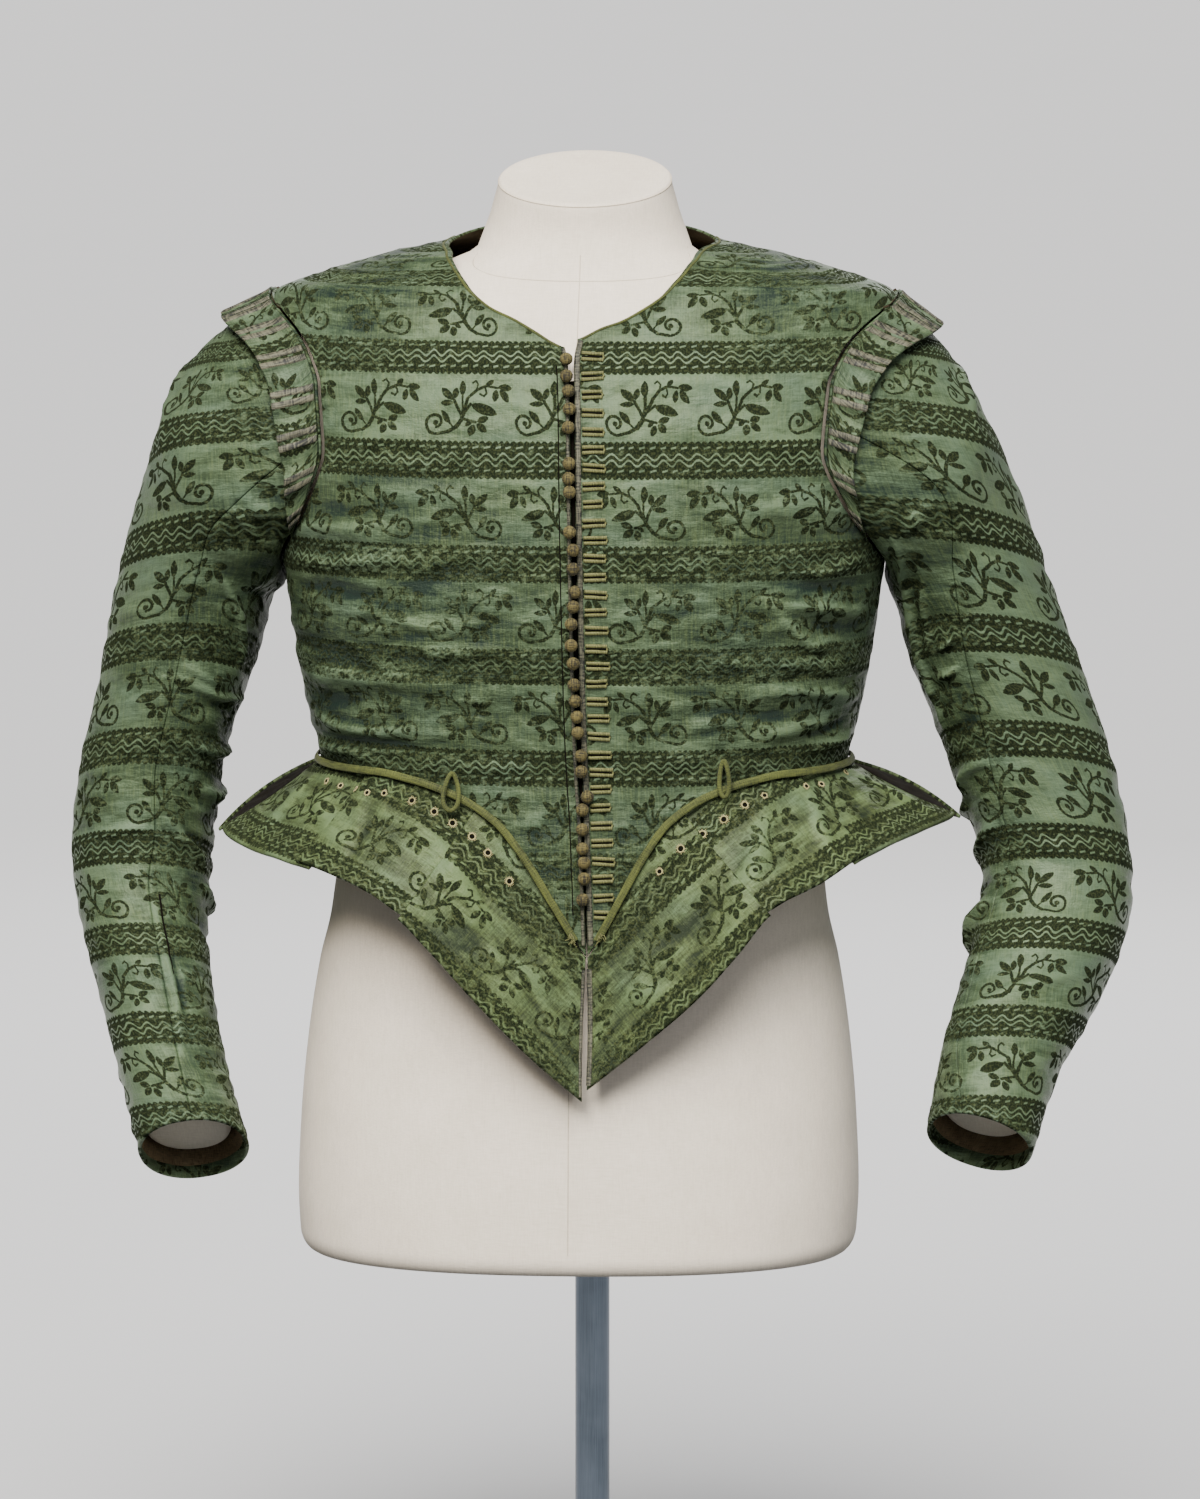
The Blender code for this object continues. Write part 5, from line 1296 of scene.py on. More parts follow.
class StripMaker:
    """Geometry Nodes tree that sweeps a soft flat section along paths, and turns it into plain meshes."""

    def __init__(self) -> None:
        """Build the tree."""
        self.tree = self.make_tree()

    @staticmethod
    def make_tree() -> bpy.types.NodeTree:
        """Tree with inputs for width, thickness, sides of the section and material."""
        tree = new_group("strip along a path", "Geometry", {"Geometry": "Geometry", "Width": "Float",
                                                            "Thickness": "Float", "Sides": "Int",
                                                            "Material": "Material"}, {"Geometry": "Geometry"})
        given = add_node(tree, "NodeGroupInput").outputs
        lie = add_node(tree, "GeometryNodeInputNamedAttribute", {"data_type": "FLOAT_VECTOR", "Name": "lie"})
        curve = add_node(tree, "GeometryNodeMeshToCurve", {"Mesh": given["Geometry"]})
        turned = add_node(tree, "GeometryNodeSetCurveNormal", {"mode": "FREE", "Curve": curve.outputs[0],
                                                               "Normal": lie.outputs[0]})
        ring = add_node(tree, "GeometryNodeCurvePrimitiveCircle", {"Radius": 0.5, "Resolution": given["Sides"]})
        size = add_node(tree, "ShaderNodeCombineXYZ", {"X": given["Thickness"], "Y": given["Width"], "Z": 1.0})
        shaped = add_node(tree, "GeometryNodeTransform", {"Geometry": ring.outputs[0], "Scale": size.outputs[0]})
        kept = {}
        for name, path in (("run", turned), ("turn", shaped)):
            kept[name] = add_node(tree, "GeometryNodeCaptureAttribute", {"Geometry": path.outputs[0]})
            kept[name].capture_items.new("FLOAT", name)
            set_node(tree, kept[name], {name: add_node(tree, "GeometryNodeSplineParameter").outputs["Length"]})
        swept = add_node(tree, "GeometryNodeCurveToMesh", {"Fill Caps": True, "Curve": kept["run"].outputs[0],
                                                           "Profile Curve": kept["turn"].outputs[0]})
        chart = add_node(tree, "ShaderNodeCombineXYZ", {"X": kept["turn"].outputs["turn"],
                                                        "Y": kept["run"].outputs["run"]})
        stored = add_node(tree, "GeometryNodeStoreNamedAttribute", {
            "data_type": "FLOAT2", "domain": "CORNER", "Name": "cloth", "Geometry": swept.outputs[0],
            "Value": chart.outputs[0]})
        whole = add_node(tree, "GeometryNodeRealizeInstances", {"Geometry": stored.outputs[0]})
        smoothed = add_node(tree, "GeometryNodeSetShadeSmooth", {"Geometry": whole.outputs[0]})
        painted = add_node(tree, "GeometryNodeSetMaterial", {"Geometry": smoothed.outputs[0],
                                                             "Material": given["Material"]})
        add_node(tree, "NodeGroupOutput", {"Geometry": painted.outputs[0]})
        return tree

    def make(self, name: str, paths: Sequence[Path], width: float, thickness: float, material: bpy.types.Material,
             sides: int) -> bpy.types.Object:
        """Sweep the section along paths.

        Args:
            name: name of the new object.
            paths: for each path its points, the outward direction at each and whether it closes.
            width: width across the path, along the surface.
            thickness: thickness off the surface.
            material: finish.
            sides: sides of the section.

        Returns:
            The object, a plain mesh at the origin.
        """
        points: List[List[float]] = []
        edges: List[Tuple[int, int]] = []
        lies: List[List[float]] = []
        for path, lie, closed in paths:
            first, last = len(points), len(points) + len(path) - 1
            points.extend(path.tolist())
            lies.extend(np.broadcast_to(lie, path.shape).tolist())
            edges.extend((spot, spot + 1) for spot in range(first, last))
            edges.extend([(last, first)] * closed)
        mesh = bpy.data.meshes.new(name)
        mesh.from_pydata(points, edges, [])
        layer = mesh.attributes.new(name="lie", type="FLOAT_VECTOR", domain="POINT")
        layer.data.foreach_set("vector", np.array(lies, dtype=np.float32).ravel())
        thing = hang(name, mesh)
        modifier = thing.modifiers.new("strip", "NODES")
        modifier.node_group = self.tree
        values = {"Width": width, "Thickness": thickness, "Sides": sides, "Material": material}
        for item in self.tree.interface.items_tree:
            if getattr(item, "in_out", "") == "INPUT" and item.name in values:
                modifier[item.identifier] = values[item.name]
        return settled(thing, name)


def settled(thing: bpy.types.Object, name: str) -> bpy.types.Object:
    """Turn an object with a Geometry Nodes modifier into a plain mesh with its faces outwards."""
    depsgraph = bpy.context.evaluated_depsgraph_get()
    mesh = bpy.data.meshes.new_from_object(thing.evaluated_get(depsgraph), preserve_all_data_layers=True,
                                           depsgraph=depsgraph)
    old = thing.data
    thing.modifiers.clear()
    thing.data = mesh
    bpy.data.meshes.remove(old)
    mesh.name = name
    face_outwards(mesh)
    return thing


def face_outwards(mesh: bpy.types.Mesh) -> None:
    """Turn every face of a closed mesh outwards."""
    shape = bmesh.new()
    shape.from_mesh(mesh)
    bmesh.ops.recalc_face_normals(shape, faces=shape.faces)
    shape.to_mesh(mesh)
    shape.free()


class Resting:
    """Outer face of a finished cloth piece, on which trimmings are laid."""

    def __init__(self, thing: bpy.types.Object) -> None:
        """Keep the face's polygons in a search tree."""
        mesh = thing.data
        faces = [tuple(face.vertices) for face in mesh.polygons if face.material_index != Layer.LINING.value]
        self.tree = BVHTree.FromPolygons([vertex.co for vertex in mesh.vertices], faces)

    def lay(self, points: Array, outward: float) -> Path:
        """Move points near the face to stand off it.

        Args:
            points: rough places near the face.
            outward: how far they stand off.

        Returns:
            An open path: the points and the outward directions there.
        """
        found = [self.tree.find_nearest(point)[:2] for point in points.tolist()]
        places, normals = (np.array([list(pair[part]) for pair in found]) for part in (0, 1))
        blur = normals.copy()
        blur[1:-1] = normals[:-2] + normals[1:-1] + normals[2:]
        return places + outward * unit(blur), unit(blur), False


class WaistLine:
    """Where the waist cord lies over the seam between body and laps on one side."""

    def __init__(self, side: Side) -> None:
        """Keep the side and its laps."""
        self.side = side
        self.laps = LapShape(side)

    def frame(self, angle: Array) -> Tuple[Array, Array, Array]:
        """Seam point, mean outward direction and rise of the cord's middle off the seam at angles."""
        level = WAIST.at("height", angle)
        hem = self.laps.hem
        along = np.interp(angle, hem.rows[:, 1], hem.rows[:, 0])
        seam = body_point(self.side.sign, angle, level) - np.array([0.0, 0.0, SEAM_GAP / 2])
        above = BODY.normal(self.side.sign, angle, level)
        below = self.laps.normal(along, np.full_like(along, 0.02))
        spread = np.arccos(np.clip(np.sum(above * below, axis=-1), -1.0, 1.0))
        rise = CORD_CLEARANCE + CORD_WIDTH / 2 * np.sin(spread / 2) * 1.15 + CORD_THICKNESS / 2
        return seam, unit(above + below), rise


@dataclass
class Trimmings:
    """Cords, loops, braid, stitches and slits on one side of the doublet."""

    side: Side
    maker: StripMaker
    finishes: Finishes
    front: Resting
    laps: Dict[str, Resting]

    def strip(self, name: str, paths: Sequence[Path], width: float, thickness: float, finish: str, sides: int,
              slot: str, *nodes: str) -> None:
        """Make one piece from strips, with the maker's arguments, and put it in its place."""
        thing = self.maker.make(name, paths, width * MM, thickness * MM, self.finishes[finish], sides)
        place_piece(thing, slot, *nodes)

    def waist_cord(self) -> None:
        """Make the flat cord over the waist seam."""
        angle = np.concatenate([np.linspace(1.6, 30.0, 60), np.linspace(31.0, 179.6, 150)])
        seam, mean, rise = WaistLine(self.side).frame(angle)
        name = "waist_cord_" + self.side.value
        self.strip(name + "_silk", [(shifted(seam + mean * rise[:, None]), mean, False)], CORD_WIDTH / MM,
                   CORD_THICKNESS / MM, "cord", 14, "silk_cord", name)

    def waist_loop(self) -> None:
        """Make the small upright loop that stands on the waist cord."""
        angle, height, width, drop, lean = LOOP_ROWS[self.side.value]
        (seam, ahead), (mean, _), (rise, _) = WaistLine(self.side).frame(np.array([angle, angle + 1.0]))
        foot = seam + mean * (rise + CORD_THICKNESS / 2 + LOOP_CORD / 2 + 1.3 * MM)
        level = unit((ahead - seam) * (1.0, 1.0, 0.0))
        upward = np.array([self.side.sign * 0.10, 0.0, 1.0])
        upward = unit(upward - level * (upward @ level))
        upward = unit(upward - mean * (upward @ mean) * lean)
        outwards = unit(np.cross(level, upward))
        outwards = -outwards if outwards @ mean < 0 else outwards
        turn = 2 * math.pi * np.arange(40)[:, None] / 40
        middle = (foot + upward * (height * 0.5 * (1 - np.cos(turn)) - drop)
                  + level * (width / 2 * np.sin(turn) * (0.72 + 0.28 * np.cos(turn)))
                  + outwards * (1.5 * MM * np.sin(turn)))
        name = "waist_loop_" + self.side.value
        self.strip(name + "_silk", [(shifted(middle), outwards, True)], LOOP_CORD / MM, LOOP_CORD / MM, "cord", 10,
                   "silk_cord", name)

    def front_run(self, arc: Union[float, Array], height: Array, outward: float) -> Path:
        """Path on the front.

        Args:
            arc: distance from the centre edge in millimetres.
            height: heights.
            outward: how far the points stand off, in millimetres.

        Returns:
            The open path, in its final place.
        """
        arc, height = paired(arc, height)
        points = body_point(self.side.sign, angle_across(arc * MM, height), height)
        return self.front.lay(shifted(points), outward * MM)

    def edge_braid(self) -> None:
        """Make the narrow braid down the centre front edge and the lap, and the whipped edge of the neck."""
        wide = self.side is Side.LEFT
        neck = BodyPanel(self.side, True).top(np.linspace(0.01, 0.995, 90))
        points = body_point(self.side.sign, neck[:, 0] + 0.2, neck[:, 1] - 0.9 * MM)
        whipped = self.front.lay(shifted(points), 0.1 * MM)
        edge = LapShape(self.side).at(0.012, np.linspace(0.10, 0.985, 60))
        paths = [self.front_run(2.2 if wide else 1.5, np.linspace(neck[0, 1] - 2 * MM, 0.526, 160), 0.15),
                 self.laps["front"].lay(shifted(edge), 0.15 * MM)]
        self.strip("edge_braid_" + self.side.value, paths, 3.6 if wide else 2.2, 1.2, "braid", 8, "silk_cord")
        self.strip("neck_edge_" + self.side.value, [whipped], 1.9, 1.0, "cord", 6, "silk_cord")

    def front_stitching(self) -> None:
        """Make the row of stitches that holds the front's turned edge, 7.5 mm from it."""
        path = self.front_run(7.5, np.linspace(0.545, 0.893, 170), 0.05)
        # the row takes the nearly black finish of the holes, so it shows as a line of painted shade
        self.strip("front_stitching_" + self.side.value, [path], 0.8, 0.4, "hole_shade", 5, "button_thread")

    def cord_tuft(self) -> None:
        """Make the frayed ends and stitches that finish the waist cord at the centre front."""
        (seam, ahead), (mean, _), _ = WaistLine(self.side).frame(np.array([1.8, 3.0]))
        chance = np.random.default_rng(17 + self.side.sign)
        along = unit(ahead - seam)
        paths = []
        for _ in range(16):
            start = seam + along * chance.uniform(-1.0, 5.0) * MM + mean * chance.uniform(2.0, 3.4) * MM
            way = unit(-along * chance.uniform(-0.4, 1.0) + np.array([0.0, -0.1, -0.5]) * chance.uniform(0.2, 1.2)
                       + mean * chance.uniform(-0.1, 0.4))
            side_way = unit(np.cross(way, mean)) * chance.uniform(-1.6, 1.6) * MM
            reach = way * chance.uniform(3.0, 7.0) * MM
            paths.append((shifted(np.array([start, start + reach / 2 + side_way, start + reach])), mean, False))
        self.strip("cord_tuft_" + self.side.value, paths, 0.7, 0.7, "bar_thread", 5, "silk_cord")

    def buttonholes(self) -> None:
        """Make the worked bars of every buttonhole, a pair above and below each slit."""
        bars, ends, slits = [], [], []
        chance = np.random.default_rng(23)
        for number in range(32):
            height = 0.8985 - 11.40 * MM * number + chance.uniform(-0.4, 0.4) * MM
            reach = 19.0 + chance.uniform(-1.4, 1.2)
            tilt = chance.uniform(-0.5, 0.5) * MM
            for shift in (-1.75 * MM, 1.75 * MM):
                level = height + shift + np.linspace(-tilt, tilt, 8)
                bars.append(self.front_run(np.linspace(4.8, reach, 8), level, 0.7))
            ends.append(self.front_run(reach + np.array([-0.6, 0.2, -0.6]),
                                       height + tilt + np.array([-1.75, 0.0, 1.75]) * MM, 0.5))
            slits.append(self.front_run(np.linspace(5.0, reach + 1.0, 6), height, 0.3))
        # a nearly black strip lies just under the centre front, seen in the gap between the fronts: painted shadow
        height = np.linspace(0.885, 0.530, 60)
        normal = BODY.normal(1, 0.0, height)
        gap_shadow = (shifted(body_point(1, 0.0, height) - 3.4 * MM * normal), normal, False)
        for name, paths, width, thickness, finish, sides in (
                ("buttonhole_bars", bars, 2.4, 1.9, "bar_thread", 8),
                ("buttonhole_ends", ends, 1.4, 1.2, "bar_thread", 6),
                ("buttonhole_slits", slits, 1.1, 0.7, "hole_shade", 6),
                ("front_gap_shadow", [gap_shadow], 9.0, 0.5, "hole_shade", 6)):
            self.strip(name, paths, width, thickness, finish, sides, "button_thread")

    def eyelets(self) -> None:
        """Make the stitched eyelets of the laps: a dark hole, a whipped ring and uneven stitches round it."""
        shape = LapShape(self.side)
        chance = np.random.default_rng(5 + self.side.sign)
        rings, rays, holes = [], [], []
        rests = [self.laps[row[0]] for row in LAP_ROWS]
        turn = 2 * math.pi * np.arange(18)[:, None] / 18
        for along, down, size in EYELETS[self.side]:
            centre, normal, _ = rests[int(along)].lay(shifted(shape.at([along], [down])), 0.1 * MM)
            centre, normal = centre[0], normal[0]
            first = unit(np.cross(normal, [0.0, 0.0, 1.0]))
            spoke = (np.cos(turn) * first + np.sin(turn) * np.cross(normal, first)) * MM * size
            rings.append((centre + spoke * 2.0 + normal * 0.2 * MM, normal, True))
            holes.append((centre + spoke[::3] * 0.8 + normal * 0.35 * MM, normal, True))
            for way in spoke:
                if chance.uniform() < 0.9:
                    start = centre + way * 1.8 + normal * 0.35 * MM
                    finish = centre + way * chance.uniform(2.5, 3.5) + normal * 0.15 * MM
                    rays.append((np.array([start, (start + finish) / 2 + normal * 0.15 * MM, finish]), normal, False))
        side = self.side.value
        self.strip("eyelet_rings_" + side, rings, 0.9, 0.8, "eyelet_thread", 6, "button_thread")
        self.strip("eyelet_stitches_" + side, rays, 0.5, 0.4, "eyelet_thread", 5, "button_thread")
        self.strip("eyelet_holes_" + side, holes, 1.8, 0.5, "hole_shade", 6, "button_thread")

    def sleeve_slits(self, rest: Resting) -> None:
        """Make the short split beside the forearm seam, its inside in shadow, and the split of the cuff.

        Args:
            rest: the inner half of the sleeve.
        """
        runs = {Side.RIGHT: ((7.05, 8.05, 9.0), (9.70, 9.94, 80.0)), Side.LEFT: ((9.70, 9.94, 60.0),)}[self.side]
        paths = []
        for first, last, turn in runs:
            place = np.linspace(first, last, 24)
            phi = SEAM[self.side.value].at("phi", place) + turn + (place - first) * 2.0
            paths.append(rest.lay(shifted(SleeveShape(self.side).surface(place, phi)), 0.12 * MM))
        self.strip("sleeve_slits_" + self.side.value, paths, 1.5, 0.6, "hole_shade", 6, "cut_velvet_silk")


@dataclass
class Buttons:
    """Thread buttons, each wound round and round over its mould."""

    around: int = 40
    down: int = 18
    thread_count: float = 34.0
    ring_depth: float = 0.16 * MM

    def build(self, finishes: Finishes) -> None:
        """Make every button in its solid's place."""
        for number, (offset, height) in enumerate(np.reshape(BUTTON_ROWS, (-1, 2)) * MM, start=1):
            normal = BODY.normal(-1, 0.0, height)
            centre = body_point(-1, 0.0, height) + normal * (BUTTON_DIAMETER / 2 * BUTTON_FLATNESS + 0.4 * MM)
            centre[0] += 0.5 * GAP.at("width", height) + offset
            self.button(number, centre, math.atan2(normal[2], -normal[1]), finishes)

    def button(self, number: int, centre: Array, pitch: float, finishes: Finishes) -> None:
        """Make one button whose threads run in a four-part winding.

        Args:
            number: its number from the neck down.
            centre: its middle.
            pitch: lean of the surface that it rests on.
            finishes: the materials.
        """
        name = "button_%02d" % number
        fall, turn = np.meshgrid(math.pi * (np.arange(self.down) + 0.5) / self.down,
                                 2 * math.pi * np.arange(self.around) / self.around, indexing="ij")
        ball = np.stack([np.sin(fall) * np.cos(turn), np.sin(fall) * np.sin(turn), np.cos(fall)], axis=-1)
        first, second = np.abs(ball[..., 0]), np.abs(ball[..., 1])
        groove = np.cos(np.maximum(first, second) * self.thread_count + number) * self.ring_depth * 0.55
        seam = np.exp(-((first - second) / 0.08) ** 2) * 0.12 * MM
        points = ball * (BUTTON_DIAMETER / 2 - 0.12 * MM + groove - seam)[..., None]
        depth = points[..., 2] * BUTTON_FLATNESS
        spin = np.random.default_rng(number).uniform(-0.5, 0.5)
        across = points[..., 0] * math.cos(spin) - points[..., 1] * math.sin(spin)
        rise = points[..., 0] * math.sin(spin) + points[..., 1] * math.cos(spin)
        rings = centre + np.stack([across, rise * math.sin(pitch) - depth * math.cos(pitch),
                                   rise * math.cos(pitch) + depth * math.sin(pitch)], axis=-1)
        place_piece(ringed(name + "_thread", shifted(rings), finishes["thread"]), "button_thread", name)


def ringed(name: str, rings: Array, material: bpy.types.Material) -> bpy.types.Object:
    """Smooth closed body through rings of points, with a fan at each end and its faces outwards.

    Args:
        name: name of the new object.
        rings: array of rings by points by three.
        material: finish.

    Returns:
        The object.
    """
    levels, count = rings.shape[:2]
    first = levels * count
    faces = []
    for spot in range(count):
        beside = (spot + 1) % count
        faces.extend((level * count + spot, level * count + beside, (level + 1) * count + beside,
                      (level + 1) * count + spot) for level in range(levels - 1))
        faces.append((first, beside, spot))
        faces.append((first + 1, first - count + spot, first - count + beside))
    ends = [rings[0].mean(axis=0), rings[-1].mean(axis=0)]
    mesh = smooth_mesh(name, np.concatenate([rings.reshape(-1, 3), ends]), faces, material)
    face_outwards(mesh)
    return hang(name, mesh)


@dataclass
class DressForm:
    """Padded torso with a slanted neck block, and the two soft fillings of the sleeves."""

    finishes: Finishes
    columns: int = 128
    step: float = 4.0 * MM

    @staticmethod
    def halves(turn: Array) -> Tuple[Array, Array]:
        """Side and angle from the centre front at turns round the whole form."""
        return np.where(turn <= 180.0, 1, -1), np.where(turn <= 180.0, turn, 360.0 - turn)

    @staticmethod
    def neck_top(points: Array, drop: float) -> Array:
        """Points dropped from the slanted top of the neck block."""
        points[:, 2] = NECK_TOP_HEIGHT + (points[:, 1] - 10 * MM) * math.tan(NECK_TOP_SLANT) - drop
        return points

    def torso(self) -> None:
        """Make the torso."""
        side, angle = self.halves(360.0 * (np.arange(self.columns) + 0.5) / self.columns)
        rings = []
        bends = np.radians(range(0, 91, 15))
        levels = [(FORM_BOTTOM + FORM_EDGE_RADIUS * (1 - math.cos(bend)), FORM_EDGE_RADIUS * (1 - math.sin(bend)))
                  for bend in bends]
        straight = np.arange(FORM_BOTTOM + FORM_EDGE_RADIUS + self.step, 0.966, self.step)
        for height, shrink in levels + [(height, 0.0) for height in straight]:
            point = FORM.point(side, angle, height) - FORM.normal(side, angle, height) * shrink * 0.66
            point[:, 0] += FORM_SHIFT.at("shift", height)
            point[:, 2] = height
            rings.append(point)
        # rounded edge of the neck block: drop, shrink and the section's height
        for drop, shrink, height in ((0.022, 0.0, 0.979), (0.011, 0.0, 0.990), (0.006, 0.0, 1.0),
                                     (0.0022, 0.0, 1.010), (0.0010, 0.0004, 1.010), (0.0003, 0.0010, 1.010),
                                     (0.0, 0.0018, 1.010), (0.0, 0.006, 1.010)):
            point = FORM.point(side, angle, height)
            rings.append(self.neck_top(point - unit(point * (1.0, 1.0, 0.0)) * shrink, drop))
        thing = ringed("form_torso_linen", shifted(np.array(rings)), self.finishes["linen"])
        place_piece(thing, "linen_cover", "form_torso")

    def seams(self, maker: StripMaker) -> None:
        """Make the cover's seams: down the front and the back, and round the foot and the top of the neck."""
        height = np.linspace(0.326, 0.960, 160)
        paths = []
        for angle in (0.0, 180.0):
            point = FORM.point(1, angle, height)
            point[:, 0] += FORM_SHIFT.at("shift", height)
            paths.append((shifted(point), FORM.normal(1, angle, height), False))
        turn = np.linspace(0.0, 360.0, 120, endpoint=False)
        side, angle = self.halves(turn)
        height = 0.9697 - 26 * MM * np.cos(np.radians(turn))
        paths.append((shifted(FORM.point(side, angle, height)), FORM.normal(side, angle, height), True))
        point = self.neck_top(FORM.point(side, angle, 1.010), 1.6 * MM)
        paths.append((shifted(point), FORM.normal(side, angle, 1.010), True))
        place_piece(maker.make("form_seams", paths, 0.7 * MM, 0.5 * MM, self.finishes["seam_thread"], 5),
                    "linen_cover")

    def filling(self, side: Side) -> None:
        """Make one sleeve's soft filling, crowned at its ends."""
        shape = SleeveShape(side)
        ends = [(0.0, 1.0), (0.012, 0.6), (0.03, 0.36), (0.06, 0.16), (0.10, 0.05), (0.15, 0.0)]
        places = ([(1.15 + gap, reach) for gap, reach in ends] + [(place, 0.0) for place in np.arange(1.4, 9.45, 0.1)]
                  + [(9.68 - gap, reach) for gap, reach in reversed(ends)])
        phi = 360.0 * np.arange(48) / 48
        rings = [shape.surface(place, phi) - (PAD_INSET + 6 * MM * reach) * shape.normal(place, phi)
                 for place, reach in places]
        name = "sleeve_pad_" + side.value
        thing = place_piece(ringed(name + "_soft", shifted(np.array(rings)), self.finishes["pad_linen"]),
                            "linen_cover", name)


@dataclass
class Stand:
    """Steel tube pole on a round plate."""

    edge: float = 1.2 * MM
    gap: float = 0.3 * MM

    def build(self, finishes: Finishes) -> None:
        """Make the pole and the base plate."""
        pole = POLE_RADIUS, BASE_THICKNESS + self.gap, FORM_BOTTOM - self.gap
        self.round_bar("stand_pole", *pole, finishes["steel"], "stand_steel")
        self.round_bar("stand_base", BASE_RADIUS, 0.0, BASE_THICKNESS, finishes["base_steel"], "stand_base_steel")

    def round_bar(self, name: str, radius: float, low: float, high: float, finish: bpy.types.Material,
                  slot: str) -> None:
        """Make one upright bar or plate with rounded edges.

        Args:
            name: the solid that it replaces.
            radius: its radius.
            low: height of its foot.
            high: height of its top.
            finish: its material.
            slot: not used.
        """
        bend = np.radians(np.linspace(0, 90, 6))
        reach = radius - self.edge + self.edge * np.concatenate([np.sin(bend), np.cos(bend)])
        level = np.concatenate([low + self.edge * (1 - np.cos(bend)), high - self.edge * (1 - np.sin(bend))])[:, None]
        turn = 2 * math.pi * np.arange(96) / 96
        rings = np.stack([reach[:, None] * np.cos(turn), reach[:, None] * np.sin(turn), level + 0 * turn], axis=-1)
        thing = place_piece(ringed(name + "_bright", rings, finish), slot, name)
        thing.data.set_sharp_from_angle(angle=math.radians(40))


@dataclass
class Studio:
    """Pale floor, soft lights and the camera."""

    floor_radius: float = 80.0
    distance: float = 5.0
    elevation: float = 7.0
    azimuth: float = 3.0
    target: Tuple[float, float, float] = (0.005, 0.0, 0.636)
    lens: float = 184.8

    def build(self, finishes: Finishes) -> None:
        """Make the floor, the lights and the camera."""
        turn = 2 * math.pi * np.arange(96) / 96
        ring = np.stack([self.floor_radius * np.cos(turn), self.floor_radius * np.sin(turn), 0 * turn], axis=-1)
        mesh = bpy.data.meshes.new("floor")
        mesh.from_pydata(ring.tolist(), [], [tuple(range(96))])
        mesh.materials.append(finishes["floor"])
        floor = hang("floor", mesh)
        floor.visible_diffuse = False
        world = bpy.data.worlds.new("studio")
        bpy.context.scene.world = world
        world.use_nodes = True
        set_node(world.node_tree, world.node_tree.nodes["Background"], {"Color": linear("#f0f1f3"), "Strength": 0.16})
        sun = bpy.data.lights.new("skylight", "SUN")
        sun.energy = 6.0
        sun.angle = math.radians(40)
        sun.color = linear("#fffcf8")[:3]
        hang("skylight", sun).rotation_euler = self.facing((-0.06, -1.6, 2.0), (0.0, 0.0, 0.0))
        self.light("key", (-0.7, -2.7, 2.6), (0.0, 0.0, 0.75), 1.0, 64.0, "#fff6ea")
        self.light("fill", (1.6, -3.0, 1.6), (0.0, 0.0, 0.6), 2.0, 16.0, "#f4f7ff")
        self.light("back", (0.2, 3.4, 2.2), (0.0, 0.0, 0.7), 2.4, 34.0, "#ffffff")
        eye = hang("camera", bpy.data.cameras.new("camera"))
        lift, swing = math.radians(self.elevation), math.radians(self.azimuth)
        eye.location = (self.target[0] + self.distance * math.cos(lift) * math.sin(swing),
                        self.target[1] - self.distance * math.cos(lift) * math.cos(swing),
                        self.target[2] + self.distance * math.sin(lift))
        eye.rotation_euler = (math.pi / 2 - lift, 0.0, swing)
        eye.data.lens = self.lens
        eye.data.sensor_width = 36.0
        eye.data.clip_end = 400.0
        bpy.context.scene.camera = eye

    @staticmethod
    def light(name: str, place: Tuple[float, float, float], target: Tuple[float, float, float], size: float,
              power: float, colour: str) -> None:
        """Hang one soft square light that faces a target.

        Args:
            name: its name.
            place: where it hangs.
            target: what it faces.
            size: its side.
            power: watts.
            colour: sRGB hex colour.
        """
        lamp = bpy.data.lights.new(name, "AREA")
        lamp.size = size
        lamp.energy = power
        lamp.color = linear(colour)[:3]
        thing = hang(name, lamp)
        thing.location = place
        thing.rotation_euler = Studio.facing(place, target)

    @staticmethod
    def facing(place: Tuple[float, float, float], target: Tuple[float, float, float]) -> Tuple[float, float, float]:
        """Turn of a lamp at a place that faces a target."""
        way = np.array(target) - np.array(place)
        reach = float(np.hypot(way[0], way[1]))
        return math.pi / 2 + math.atan2(way[2], reach), 0.0, math.atan2(-way[0], way[1])
